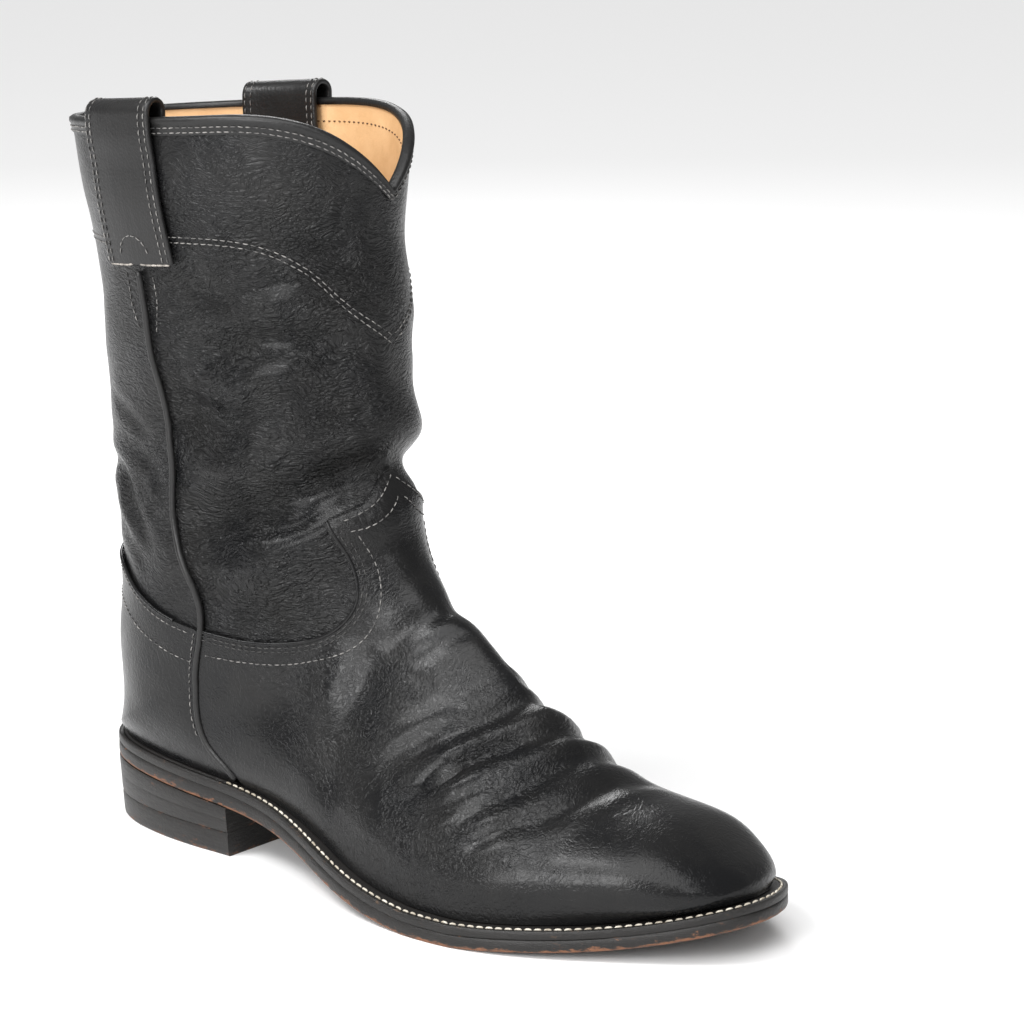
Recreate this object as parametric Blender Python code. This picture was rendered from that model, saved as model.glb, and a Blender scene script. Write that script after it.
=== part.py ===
# A right roper boot: hollow upper, vamp, counter, pipings, binding, pull straps, welt, soles and heel.
# Shapes are worked out in millimetres from the back of the sole: x forward to the toe, y to the wearer's
# inner (medial) side, z up from the floor. to_world moves them to metres about the boot's own middle.
import bpy
import numpy as np

MM = 0.001
BOX_MIDDLE_X = 145.7     # middle of the whole boot along its length
BOX_MIDDLE_Y = -3.8      # and across it
GAP = 0.3                # between pieces that meet
WALL = 2.2               # shaft leather with its lining
STAND = 0.45             # between the welt's top and the upper, whose edges bend differently
OVERLAY = 1.2            # vamp and counter leather
LAP = GAP + OVERLAY      # how far the upper lies in under vamp and counter
INSOLE = 3.0
INSOLE_CLEARANCE = 1.6   # the wall leans in above the insole's edge
HEEL_BREAST_X = 80.0
LIFT_TOP = 9.2           # top of the layer that wears on the ground
HEEL_TAPER = 1.6         # the heel narrows by this much toward the ground
FLAT_FROM, FLAT_TO = 184.0, 208.0    # the forefoot's flat spot on the floor
WELT_SHARE = 0.4         # of the sole edge's thickness
WELT_WIDTH = 9.0         # of the welt inside the feather line

# Sole: x, lateral and medial half widths, height of the underside, thickness with the welt
SOLE = (
    (0.0, -1.0, 4.0, 24.0, 9.3),
    (7.5, 15.0, 22.0, 23.8, 9.3),
    (30.0, 27.0, 36.5, 22.8, 9.3),
    (60.0, 32.0, 38.0, 20.9, 9.3),
    (80.0, 32.8, 35.0, 19.3, 9.3),
    (105.0, 36.5, 30.5, 16.4, 9.3),
    (130.0, 44.5, 28.5, 11.0, 9.2),
    (155.0, 53.0, 30.5, 4.9, 9.0),
    (180.0, 57.0, 35.5, 0.6, 8.7),
    (205.0, 57.5, 43.0, 0.0, 8.3),
    (228.0, 52.0, 47.5, 1.5, 8.0),
    (250.0, 41.5, 47.5, 3.4, 7.9),
    (270.0, 30.5, 42.0, 6.6, 7.9),
    (286.0, 20.5, 32.5, 10.4, 7.9),
    (296.5, 9.5, 19.0, 13.2, 7.9),
    (300.0, -3.0, 6.0, 14.0, 7.9),
)
# How far the feather line, where upper meets welt, lies inside the sole's edge
MARGIN_X = (0.0, 80.0, 130.0, 300.0)
MARGIN = (3.2, 3.2, 5.8, 6.0)

# Upper: cuts from a point on the front line to one on the back line or, from heel_open on, to the
# feather line. Each has front x and z, back x and z, lateral and medial half widths, the share of the
# cut from its back point to its widest place, and the roundness in front and behind (2 is an ellipse).
SECTIONS = {
    "collar":      (139.3, 281.0, -7.7, 269.5, 48.5, 43.5, 0.49, 1.90, 2.05),
    "shaft_1":     (136.0, 250.0, -2.5, 242.5, 47.5, 43.0, 0.48, 1.90, 2.00),
    "shaft_2":     (133.5, 229.5, 3.0, 213.5, 43.0, 44.0, 0.47, 1.95, 2.00),
    "shaft_3":     (136.0, 205.5, 4.5, 186.0, 40.0, 45.5, 0.46, 2.00, 2.05),
    "ankle_bulge": (135.5, 182.5, 4.5, 155.0, 35.5, 46.0, 0.44, 2.00, 2.05),
    "ankle_fold":  (138.5, 165.0, 5.5, 125.5, 34.0, 47.5, 0.43, 2.00, 2.05),
    "throat":      (135.0, 152.0, 8.5, 95.0, 37.5, 46.0, 0.43, 2.00, 2.00),
    "instep_1":    (139.5, 139.0, 6.0, 70.0, 38.0, 43.5, 0.41, 2.05, 2.00),
    "instep_2":    (143.5, 123.0, 6.0, 48.5, 36.5, 44.0, 0.37, 2.05, 2.00),
    "heel_corner": (151.5, 110.5, 3.4, 33.6, 35.0, 42.5, 0.34, 2.05, 2.00),
    "heel_open":   (160.5, 101.5, 27.0, 0.0, 34.5, 41.5, 0.28, 1.85, 2.05),
    "waist_1":     (174.0, 94.5, 78.0, 0.0, 35.0, 39.5, 0.25, 1.62, 2.10),
    "waist_2":     (191.0, 81.5, 128.0, 0.0, 41.5, 40.5, 0.23, 1.50, 2.25),
    "ball_1":      (210.0, 69.0, 178.0, 0.0, 51.5, 44.5, 0.24, 1.50, 2.30),
    "ball_2":      (230.5, 54.5, 214.0, 0.0, 49.0, 46.5, 0.27, 1.62, 2.30),
    "toe_1":       (250.0, 47.5, 242.0, 0.0, 41.0, 45.0, 0.33, 1.85, 2.30),
    "toe_2":       (266.5, 43.5, 259.5, 0.0, 34.5, 41.0, 0.37, 2.05, 2.30),
    "toe_3":       (279.0, 37.0, 270.5, 0.0, 29.0, 36.0, 0.36, 2.10, 2.30),
    "toe_4":       (288.0, 31.3, 277.0, 0.0, 23.5, 32.0, 0.30, 2.00, 2.30),
    "toe_5":       (292.8, 26.2, 280.5, 0.0, 18.8, 29.3, 0.22, 1.80, 2.20),
    "tip":         (294.2, 21.6, 282.0, 0.0, 16.5, 28.0, 0.15, 1.60, 2.10),
}
OPEN_FROM = list(SECTIONS).index("heel_corner")
LAST = len(SECTIONS) - 1
LEAN_ROWS = 4            # sections above and below the heel's corner where the back line leans
FRONT_SHARE = 0.6        # of the grid's columns that lie in front of the widest place

# Collar: a V at the front
V_DEPTH = 29.5
V_HALF_WIDTH = 44.0
V_POWER = 1.7
COLLAR_ROWS = 2.0        # sections over which the V fades out
LEVEL_HEIGHT = 10.0      # over the welt, below which wall thickness is measured more and more levelly
# Upper lies in under the vamp and counter from here to here, by section number
LAP_FROM, LAP_TO = 4.5, 7.0

# Side seam, seen from the side, from just under the pull strap to the welt
SEAM = ((52.7, 219.5), (54.5, 205.0), (55.5, 186.0), (58.5, 165.0), (60.0, 145.0), (61.0, 125.0),
        (69.0, 108.0), (73.0, 96.0), (72.5, 86.0), (69.5, 75.0), (68.0, 65.0), (68.5, 53.0),
        (72.5, 42.5), (81.0, 34.5), (84.0, 31.0))
SEAM_BELOW = 8           # of these points, those that lie between vamp and counter start here
PIPING_RADIUS = 1.25
PIPING_GAP = 0.5         # from the upper, whose facets bow out between the piping's own
SEAM_CLEARANCE = PIPING_RADIUS + 0.5
# Vamp's top edge seen from the side, from the seam to the tongue's side point
VAMP_EDGE = ((72.5, 86.8), (91.0, 85.4), (106.8, 86.4), (121.5, 90.0), (130.2, 96.2), (134.6, 105.2),
             (133.6, 112.5), (129.7, 122.3), (123.6, 133.3))
# and the tongue's peak seen from the front: half width and height
TONGUE_PEAK = ((23.0, 133.3), (18.3, 136.6), (12.2, 140.4), (6.2, 145.3), (0.0, 151.0))
COUNTER_EDGE = ((-12.0, 111.5), (6.0, 108.0), (26.8, 102.0), (45.6, 93.5), (60.0, 89.0), (72.5, 86.8))

STRAP_X = 49.5           # middle of both pull straps
STRAP_WIDTH = 35.0
STRAP_THICKNESS = 2.2
STRAP_OUT, STRAP_IN = 2.8, -5.6      # where its legs' middles pass the collar
STRAP_ARCH_Z = 2.7       # the loop's round top starts here above the collar
STRAP_LEG, STRAP_INNER_LEG = 51.5, 30.0
STRAP_LEAN = 0.085       # slope of its edges, square to the collar

BINDING_DEPTH = 4.5
BINDING = 0.7
BINDING_GAP = 0.45       # between it and the shaft
BINDING_TOP = BINDING_GAP + BINDING

# Rows of the upper's grid: from one section number to the next, in so many steps
ROW_RUNS = ((0.0, 9.0, 16), (9.0, 9.3, 1), (9.3, 10.4, 5), (10.4, 13.0, 6), (13.0, 20.0, 11))
HALF_COLUMNS = 13
PLATE_STATIONS = 34


def spline(knots, values, at):
    """Natural cubic spline through values, one row or number for each knot."""
    x = np.asarray(knots, float)
    y = np.asarray(values, float)
    at = np.asarray(at, float)
    count = len(x)
    step = np.diff(x)
    matrix = np.eye(count)
    right = np.zeros_like(y)
    for i in range(1, count - 1):
        matrix[i, i - 1:i + 2] = step[i - 1], 2 * (step[i - 1] + step[i]), step[i]
        right[i] = 6 * ((y[i + 1] - y[i]) / step[i] - (y[i] - y[i - 1]) / step[i - 1])
    bend = np.linalg.solve(matrix, right)
    i = np.clip(np.searchsorted(x, at, side="right") - 1, 0, count - 2)
    a, b, h = x[i + 1] - at, at - x[i], step[i]
    if y.ndim > 1:
        a, b, h = a[..., None], b[..., None], h[..., None]
    curve = (bend[i] * a ** 3 + bend[i + 1] * b ** 3) / (6 * h)
    return curve + (y[i] / h - bend[i] * h / 6) * a + (y[i + 1] / h - bend[i + 1] * h / 6) * b


def ramp(value, low, high):
    """A smooth rise from 0 at low to 1 at high."""
    share = np.clip((value - low) / (high - low), 0, 1)
    return share * share * (3 - 2 * share)


def through(points, count):
    """A smooth open curve of count points through the given ones, evenly spaced."""
    points = np.asarray(points, float)
    reach = np.concatenate([[0], np.cumsum(np.linalg.norm(np.diff(points, axis=0), axis=1))])
    return spline(reach, points, np.linspace(0, reach[-1], count))


def sole_outline(count=480):
    """The sole's outline as a closed loop, from the heel's back round the outer side to the toe."""
    table = np.array(SOLE)
    lateral = np.column_stack([table[:, 0], -table[:, 1]])
    medial = np.column_stack([table[:, 0], table[:, 2]])
    middle = (lateral + medial) / 2
    points = np.concatenate([middle[:1], lateral[1:-1], middle[-1:], medial[-2:0:-1]])
    extra = 6
    wrapped = np.concatenate([points[-extra:], points, points[:extra]])
    chord = np.linalg.norm(np.diff(wrapped, axis=0), axis=1)
    reach = np.concatenate([[0], np.cumsum(np.sqrt(chord))])
    around = np.linspace(reach[extra], reach[extra + len(points)], count, endpoint=False)
    return spline(reach, wrapped, around)


def inset(loop, distance):
    """The loop moved inward by a distance, one number or one for each point."""
    along = np.roll(loop, -1, axis=0) - np.roll(loop, 1, axis=0)
    along /= np.linalg.norm(along, axis=1)[:, None]
    inward = np.column_stack([-along[:, 1], along[:, 0]])
    return loop + inward * np.reshape(distance, (-1, 1))


def side_y(loop, x, side):
    """y of the loop's lateral (-1) or medial (+1) side at x."""
    from_back = np.roll(loop, -np.argmin(loop[:, 0]), axis=0)
    toe = np.argmax(from_back[:, 0])
    part = from_back[:toe + 1] if side < 0 else np.roll(from_back, -1, axis=0)[toe - 1:][::-1]
    return np.interp(x, part[:, 0], part[:, 1])


def underside(x):
    """Height of the sole's underside, with the forefoot's flat spot."""
    table = np.array(SOLE)
    height = spline(table[:, 0], table[:, 3], np.clip(x, 0, table[-1, 0]))
    return np.where((x >= FLAT_FROM) & (x <= FLAT_TO), 0.0, np.maximum(height, 0.0))


def edge_thickness(x):
    table = np.array(SOLE)
    return np.interp(x, table[:, 0], table[:, 4])


def feather_z(x):
    """Height of the welt's top, where the upper stands."""
    return underside(x) + edge_thickness(x)


OUTLINE = sole_outline()
FEATHER = inset(OUTLINE, np.interp(OUTLINE[:, 0], MARGIN_X, MARGIN))
FEATHER_BACK, HEEL_Y = FEATHER[np.argmin(FEATHER[:, 0])]


def cuts(t):
    """The section table at the section numbers t, and the feather line's half widths there."""
    table = np.array(list(SECTIONS.values()))
    number = np.arange(len(table))
    row = spline(number, table, t)
    closed = t <= OPEN_FROM
    upper_part = number[:OPEN_FROM + 1]
    lower_part = number[OPEN_FROM:]
    # from the heel's corner on, the base point runs along the feather line, slowly at first
    root = np.sqrt(np.maximum(table[OPEN_FROM:, 2] - FEATHER_BACK, 0))
    root[0] = 0
    base_x = FEATHER_BACK + spline(lower_part, root, np.maximum(t, OPEN_FROM)) ** 2
    shaft_x = spline(upper_part, table[:OPEN_FROM + 1, 2], np.minimum(t, OPEN_FROM))
    shaft_z = spline(upper_part, table[:OPEN_FROM + 1, 3], np.minimum(t, OPEN_FROM))
    row[..., 2] = np.where(closed, shaft_x, base_x)
    row[..., 3] = np.where(closed, shaft_z, feather_z(base_x) + STAND)
    # the back line leans over to the sole's own middle at the heel
    lean = HEEL_Y * ramp(t, OPEN_FROM - LEAN_ROWS, OPEN_FROM) * (1 - ramp(t, OPEN_FROM, OPEN_FROM + LEAN_ROWS))
    base_lateral = np.where(closed, 0, np.maximum(lean - side_y(FEATHER, base_x, -1), 0))
    base_medial = np.where(closed, 0, np.maximum(side_y(FEATHER, base_x, 1) - lean, 0))
    return row, lean, base_lateral, base_medial


def tip_arc(s):
    """Points of the feather line round the toe's tip, between the last section's base points."""
    arc = FEATHER[FEATHER[:, 0] >= SECTIONS["tip"][2]]
    reach = np.concatenate([[0], np.cumsum(np.linalg.norm(np.diff(arc, axis=0), axis=1))])
    middle = np.interp(0, arc[:, 1], reach)
    along = np.interp(s, (-1, 0, 1), (0, middle, reach[-1]))
    x = np.interp(along, reach, arc[:, 0])
    y = np.interp(along, reach, arc[:, 1])
    return np.stack([x, y, feather_z(x) + STAND], axis=-1)


def form(t, s):
    """Points of the boot's outer form at section numbers t and shares s round the section:
    -1 the outer side's back or base, 0 the front line, 1 the inner side's back or base."""
    t, s = np.broadcast_arrays(np.asarray(t, float), np.asarray(s, float))
    row, lean, base_lateral, base_medial = cuts(t)
    front_x, front_z, back_x, back_z, lateral, medial, widest, front, back = np.moveaxis(row, -1, 0)
    width = np.where(s < 0, lateral, medial)
    base = np.where(s < 0, base_lateral, base_medial)
    width = np.maximum(width, base * 1.005)
    share = np.abs(s)
    ahead = share <= FRONT_SHARE
    # the back quarter ends where its half width has come down to the base's
    ending = np.arccos((base / width) ** (back / 2))
    turn = np.where(ahead, share / FRONT_SHARE * np.pi / 2, (share - FRONT_SHARE) / (1 - FRONT_SHARE) * ending)
    sine = np.clip(np.sin(turn), 0, 1)
    cosine = np.clip(np.cos(turn), 0, 1)
    along_front = widest + (1 - widest) * cosine ** (2 / front)
    along_back = widest * (1 - (sine / np.sin(ending)) ** (2 / back))
    along = np.where(ahead, along_front, along_back)
    across = width * np.where(ahead, sine ** (2 / front), cosine ** (2 / back))
    x = back_x + (front_x - back_x) * along
    z = back_z + (front_z - back_z) * along
    shift = lean * np.clip(1 - along / widest, 0, 1) ** 2
    point = np.stack([x, np.where(s < 0, -across, across) + shift, z], axis=-1)
    near_tip = ramp(t, LAST - 1, LAST)[..., None]
    return point * (1 - near_tip) + tip_arc(s) * near_tip


def unit(vector):
    return vector / np.maximum(np.linalg.norm(vector, axis=-1, keepdims=True), 1e-9)


def form_normal(t, s):
    """Outward normals of the form; level ones along the feather line."""
    t, s = np.broadcast_arrays(np.asarray(t, float), np.asarray(s, float))
    small_t, small_s = 0.03, 0.02
    closed = t <= OPEN_FROM
    high = np.minimum(t + small_t, np.where(closed, OPEN_FROM, LAST))
    low = np.maximum(t - small_t, np.where(closed, 0, OPEN_FROM))
    right, left = np.minimum(s + small_s, 1), np.maximum(s - small_s, -1)
    down = form(high, s) - form(low, s)
    across = form(t, right) - form(t, left)
    normal = np.cross(down, across)
    # the back line of the closed sections has no sideways lean
    back_line = (np.abs(s) > 1 - 1e-6) & closed
    normal[..., 1] = np.where(back_line, 0, normal[..., 1])
    base_line = (np.abs(s) > 1 - 1e-6) & ~closed
    along = np.where(base_line[..., None], down * np.sign(s)[..., None], -across)
    level = np.stack([-along[..., 1], along[..., 0], np.zeros_like(s)], axis=-1)
    on_feather = base_line | (t > LAST - 1e-6)
    normal = unit(np.where(on_feather[..., None], level, normal))
    # a face that leans out over the welt is thickened levelly close to it
    place = form(t, s)
    height = (place[..., 2] - feather_z(place[..., 0])) / LEVEL_HEIGHT
    normal[..., 2] *= np.where(normal[..., 2] < 0, np.clip(height, 0, 1), 1)
    # round the heel, where the cuts fan out from its corner, the cut's own level normal is steadier
    plan = unit(np.stack([across[..., 1], -across[..., 0], np.zeros_like(s)], axis=-1))
    near = ramp(np.abs(s), 0.45, 0.62) * ramp(t, 7.8, 8.8) * (1 - ramp(t, 10.0, 11.5))
    near = np.where(on_feather, 0, near)[..., None]
    return unit(unit(normal) * (1 - near) + plan * near)


def lap(t):
    """How far the upper lies inside the form, under vamp and counter."""
    return LAP * ramp(t, LAP_FROM, LAP_TO)


def skin(t, s, out=0.0):
    """Points at a distance out from the upper's outer face."""
    t, s = np.broadcast_arrays(np.asarray(t, float), np.asarray(s, float))
    point = form(t, s) + form_normal(t, s) * (out - lap(t))[..., None]
    on_feather = ((np.abs(s) > 1 - 1e-6) & (t > OPEN_FROM)) | (t > LAST - 1e-6)
    point[..., 2] = np.where(on_feather, feather_z(point[..., 0]) + STAND, point[..., 2])
    return point


def collar_start(s):
    """Section number at which the shaft's top edge lies, lower at the front's V."""
    sideways = np.abs(form(0, s)[..., 1])
    ahead = np.abs(s) < FRONT_SHARE
    drop = V_DEPTH * np.clip(1 - sideways / V_HALF_WIDTH, 0, 1) ** V_POWER
    first_step = SECTIONS["collar"][1] - SECTIONS["shaft_1"][1]
    return np.where(ahead, drop, 0) / first_step


def grid_numbers():
    """Section numbers and shares of the upper's grid, its first row on the collar's edge."""
    shares = np.linspace(-1, 1, 2 * HALF_COLUMNS + 1)
    runs = [np.linspace(first, last, steps + 1)[1:] for first, last, steps in ROW_RUNS]
    numbers = np.concatenate([[0], *runs])
    start = collar_start(shares)
    fade = np.clip(1 - numbers / COLLAR_ROWS, 0, 1)
    t = numbers[:, None] + start[None, :] * fade[:, None]
    return t, np.broadcast_to(shares, t.shape)


def on_side(points, side):
    """Section numbers and shares of the form's points seen at (x, z) on one side."""
    numbers = np.linspace(0, LAST - 1, 240)
    shares = side * np.linspace(0.08, 0.97, 90)
    t, s = np.meshgrid(numbers, shares, indexing="ij")
    surface = form(t, s)
    found = []
    for x, z in points:
        nearest = np.argmin((surface[..., 0] - x) ** 2 + (surface[..., 2] - z) ** 2)
        number, share = t.flat[nearest], s.flat[nearest]
        for _ in range(6):
            here = form(number, share)
            step = 0.01
            by_t = (form(number + step, share) - here) / step
            by_s = (form(number, share + step) - here) / step
            slope = np.array([[by_t[0], by_s[0]], [by_t[2], by_s[2]]])
            change = np.linalg.solve(slope, [x - here[0], z - here[2]])
            number = np.clip(number + np.clip(change[0], -0.3, 0.3), 0, LAST - 0.5)
            share = side * np.clip(side * (share + np.clip(change[1], -0.05, 0.05)), 0.02, 0.985)
        found.append((number, share))
    return np.array(found)


def to_world(points):
    return (np.asarray(points, float) - (BOX_MIDDLE_X, BOX_MIDDLE_Y, 0)) * MM


def material(name, colour, roughness, coat=0.0):
    made = bpy.data.materials.new(name)
    made.use_nodes = True
    shader = made.node_tree.nodes["Principled BSDF"]
    shader.inputs["Base Color"].default_value = (*colour, 1)
    shader.inputs["Roughness"].default_value = roughness
    shader.inputs["Metallic"].default_value = 0.0
    shader.inputs["Coat Weight"].default_value = coat
    return made


def volume(points, faces):
    """Signed volume inside the faces, positive when they face outward."""
    total = 0.0
    for face in faces:
        first = points[face[0]]
        for b, c in zip(face[1:], face[2:]):
            total += np.dot(first, np.cross(points[b], points[c]))
    return total / 6


def solid(name, points, faces, finish):
    """A mesh object from points in mm, shaded smooth with its sharp edges kept."""
    if volume(points, faces) < 0:
        faces = [face[::-1] for face in faces]
    mesh = bpy.data.meshes.new(name)
    mesh.from_pydata(to_world(points).tolist(), [], faces)
    mesh.validate()
    thing = bpy.data.objects.new(name, mesh)
    bpy.context.scene.collection.objects.link(thing)
    mesh.shade_smooth()
    mesh.set_sharp_from_angle(angle=np.radians(40))
    mesh.materials.append(finish)
    return thing


def lofted(name, rings, finish, caps=True, closed=False):
    """A solid through rings of equal length; closed joins the last ring to the first."""
    count = len(rings[0])
    faces = []
    spans = len(rings) if closed else len(rings) - 1
    for i in range(spans):
        a, b = i * count, (i + 1) % len(rings) * count
        for j in range(count):
            k = (j + 1) % count
            faces.append((a + j, b + j, b + k))
            faces.append((a + j, b + k, a + k))
    if caps and not closed:
        faces.append(tuple(range(count)))
        faces.append(tuple(range(len(rings) * count - 1, (len(rings) - 1) * count - 1, -1)))
    return solid(name, np.concatenate(rings), faces, finish)


def shell(name, t, s, inner, outer, finish):
    """A wall between two distances from the upper's face, over a grid whose two side columns are
    one line down to the heel's corner and part along the feather line below it."""
    rows, columns = t.shape
    points = []
    number = {}

    def vertex(face, i, j):
        merged = j == columns - 1 and t[i, j] <= OPEN_FROM + 1e-9
        key = (face, i, 0 if merged else j)
        if key not in number:
            number[key] = len(points)
            points.append(layers[face][key[1], key[2]])
        return number[key]

    layers = (skin(t, s, outer), skin(t, s, inner))
    faces = []
    for i in range(rows - 1):
        for j in range(columns - 1):
            # both faces are cut along the same diagonal, mirrored about the front line
            start = 1 if j < columns // 2 else 0
            for face in (0, 1):
                square = [vertex(face, i, j), vertex(face, i, j + 1), vertex(face, i + 1, j + 1),
                          vertex(face, i + 1, j)]
                square = square[start:] + square[:start]
                for triangle in (square[:3], [square[0], square[2], square[3]]):
                    if len(set(triangle)) == 3:
                        faces.append(triangle[::-1] if face == 0 else triangle)
    # rims: the top row all round, and the feather line from the heel's corner round the toe
    rim = [[(0, j) for j in range(columns)]]
    opened = [i for i in range(rows) if t[i, 0] > OPEN_FROM + 1e-9]
    corner = [opened[0] - 1] if opened[0] > 0 else []
    down = [(i, 0) for i in corner + opened]
    across = [(rows - 1, j) for j in range(columns)]
    up = [(i, columns - 1) for i in (corner + opened)[::-1]]
    rim.append((down + across[1:] + up[1:])[::-1])
    for line in rim:
        for (i, j), (k, l) in zip(line, line[1:]):
            quad = [vertex(0, i, j), vertex(0, k, l), vertex(1, k, l), vertex(1, i, j)]
            quad = list(dict.fromkeys(quad))
            if len(quad) > 2:
                faces.append(quad)
    return solid(name, np.array(points), faces, finish)


def prism(name, outline, axis):
    """A cutter: an outline in (x, z) drawn out along Y, or one in (y, z) drawn out along X."""
    reach = 400.0
    rings = []
    for end in (-reach, reach):
        flat = np.asarray(outline, float)
        level = np.full(len(flat), end)
        order = (flat[:, 0], level, flat[:, 1]) if axis == "Y" else (level, flat[:, 0], flat[:, 1])
        rings.append(np.column_stack(order))
    cutter = lofted(name, rings, None)
    cutter.hide_render = True
    cutter.display_type = "WIRE"
    return cutter


def keep(thing, cutter):
    """Keep what lies inside the cutter."""
    cut = thing.modifiers.new(cutter.name, "BOOLEAN")
    cut.operation = "INTERSECT"
    cut.object = cutter


def seam_line(below, shift):
    """The side seam's lower points moved sideways, and run on past the welt."""
    points = np.array(SEAM[SEAM_BELOW:])
    smooth = through(points, 14)
    along = np.gradient(smooth, axis=0)
    along /= np.linalg.norm(along, axis=1)[:, None]
    moved = smooth + np.column_stack([-along[:, 1], along[:, 0]]) * shift
    end = moved[-1] + along[-1] * below
    return np.concatenate([moved, [end]])


def build_upper(finish):
    t, s = grid_numbers()
    return shell("upper", t, s, -WALL, 0.0, finish)


def overlay_grid():
    """The rows of the upper's own grid that vamp and counter lie on."""
    t, s = grid_numbers()
    first = int(np.searchsorted(t[:, 0], 4.2))
    return t[first:], s[first:]


def build_vamp(finish):
    t, s = overlay_grid()
    vamp = shell("vamp", t, s, GAP, LAP, finish)
    seam = seam_line(30.0, SEAM_CLEARANCE)
    edge = through(VAMP_EDGE, 26)
    edge = edge[edge[:, 0] > seam[0, 0] + 1.0]
    side_point = VAMP_EDGE[-1]
    ahead, high, deep = 360.0, 330.0, -60.0
    outline = [*seam[::-1], *edge, side_point, (side_point[0], high), (ahead, high), (ahead, deep)]
    outline.append((seam[-1, 0], deep))
    keep(vamp, prism("vamp_side_cut", outline, "Y"))
    peak = through(TONGUE_PEAK, 9)
    wide = 120.0
    left = [(-y, z) for y, z in peak]
    right = [(y, z) for y, z in peak[-2::-1]]
    front = [(-wide, deep), (-wide, peak[0][1]), *left, *right, (wide, peak[0][1]), (wide, deep)]
    keep(vamp, prism("vamp_front_cut", front, "X"))
    return vamp


def build_counter(finish):
    t, s = overlay_grid()
    counter = shell("counter", t, s, GAP, LAP, finish)
    seam = seam_line(30.0, -SEAM_CLEARANCE)
    edge = through(COUNTER_EDGE, 16)
    edge = edge[edge[:, 0] < seam[0, 0] - 1.0]
    behind, deep = -60.0, -60.0
    outline = [(behind, deep), (behind, edge[0, 1]), *edge, *seam, (seam[-1, 0], deep)]
    keep(counter, prism("counter_side_cut", outline, "Y"))
    return counter


def build_piping(name, side, finish):
    """A cord along the side seam, from the pull strap's lower end to just above the welt."""
    line = through(SEAM, 27)
    welt_top = feather_z(line[:, 0]) + PIPING_RADIUS + 0.8
    line = line[line[:, 1] > welt_top]
    place = on_side(line, side)
    centre = skin(place[:, 0], place[:, 1], PIPING_GAP + PIPING_RADIUS)
    out = form_normal(place[:, 0], place[:, 1])
    along = unit(np.gradient(centre, axis=0))
    across = unit(np.cross(along, out))
    out = np.cross(across, along)
    angles = np.arange(6) * np.pi / 3 + np.pi / 6
    rings = [c + PIPING_RADIUS * (np.outer(np.cos(angles), a) + np.outer(np.sin(angles), o))
             for c, a, o in zip(centre, across, out)]
    return lofted(name, rings, finish)


def build_binding(finish):
    """A folded strip over the shaft's top edge."""
    shares = np.linspace(-1, 1, 2 * HALF_COLUMNS + 1)[:-1]
    start = collar_start(shares)
    step = SECTIONS["collar"][1] - SECTIONS["shaft_1"][1]
    outer, inner = BINDING_GAP, -WALL - BINDING_GAP
    profile = ((outer, -BINDING_DEPTH), (outer + BINDING, -BINDING_DEPTH), (outer + BINDING, BINDING_TOP),
               (inner - BINDING, BINDING_TOP), (inner - BINDING, -BINDING_DEPTH), (inner, -BINDING_DEPTH),
               (inner, BINDING_GAP), (outer, BINDING_GAP))
    lines = []
    for out, up in profile:
        number = start if up > 0 else start + BINDING_DEPTH / step
        lines.append(skin(number, shares, out) + (0, 0, max(up, 0)))
    rings = [np.array(ring) for ring in zip(*lines)]
    return lofted("collar_binding", rings, finish, closed=True)


def rim_height(x):
    """Height of the collar's rim at x, behind the V."""
    front_x, front_z, back_x, back_z = SECTIONS["collar"][:4]
    return back_z + (front_z - back_z) * (x - back_x) / (front_x - back_x)


def strap_path():
    """The strap's middle line: distance out from the shaft and height over the collar."""
    middle = (STRAP_OUT + STRAP_IN) / 2
    radius = (STRAP_OUT - STRAP_IN) / 2
    inner = [(STRAP_IN, z) for z in np.linspace(-STRAP_INNER_LEG, STRAP_ARCH_Z, 6)]
    angles = np.linspace(np.pi, 0, 9)[1:-1]
    arch = [(middle + radius * np.cos(a), STRAP_ARCH_Z + radius * np.sin(a)) for a in angles]
    low = GAP + STRAP_THICKNESS / 2 + 0.3
    outer = [(STRAP_OUT, STRAP_ARCH_Z), (STRAP_OUT, 0.0), (STRAP_OUT, -BINDING_DEPTH - 2.0)]
    outer += [(low, z) for z in np.linspace(-16.0, -STRAP_LEG, 5)]
    return np.array(inner + arch + outer)


def build_strap(name, side, finish):
    path = strap_path()
    along = unit(np.gradient(path, axis=0))
    sideways = np.column_stack([along[:, 1], -along[:, 0]]) * STRAP_THICKNESS / 2
    across = np.linspace(-0.5, 0.5, 5) * STRAP_WIDTH
    rings = []
    for middle, thick in zip(path, sideways):
        ring = []
        for face, order in ((1, across), (-1, across[::-1])):
            out, up = middle + face * thick
            x = STRAP_X + order - STRAP_LEAN * min(up, 0.0)
            z = rim_height(STRAP_X) + up + STRAP_LEAN * order
            place = on_side(np.column_stack([x, np.minimum(z, rim_height(x) - 0.2)]), side)
            for (number, share), height in zip(place, z):
                number = max(number, collar_start(share))
                normal = unit(form_normal(number, share) * (1, 1, 0))
                point = skin(number, share) + normal * out
                point[2] = height
                ring.append(point)
        rings.append(np.array(ring))
    return lofted(name, rings, finish)


def stations(loop, x_from=None, x_to=None, count=PLATE_STATIONS):
    """x values along a loop, closer together at its round ends."""
    first = loop[:, 0].min() + 0.12 if x_from is None else x_from
    last = loop[:, 0].max() - 0.12 if x_to is None else x_to
    angle = np.linspace(0, np.pi if x_to is None else np.pi / 2, count)
    share = (1 - np.cos(angle)) / (2 if x_to is None else 1)
    return first + (last - first) * share


def ladder(loop, x, height):
    """A ring of the loop's points at x: outer side forward, inner side back."""
    outer = np.column_stack([x, side_y(loop, x, -1), height])
    inner = np.column_stack([x, side_y(loop, x, 1), height])
    return np.concatenate([outer, inner[::-1]])


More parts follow.
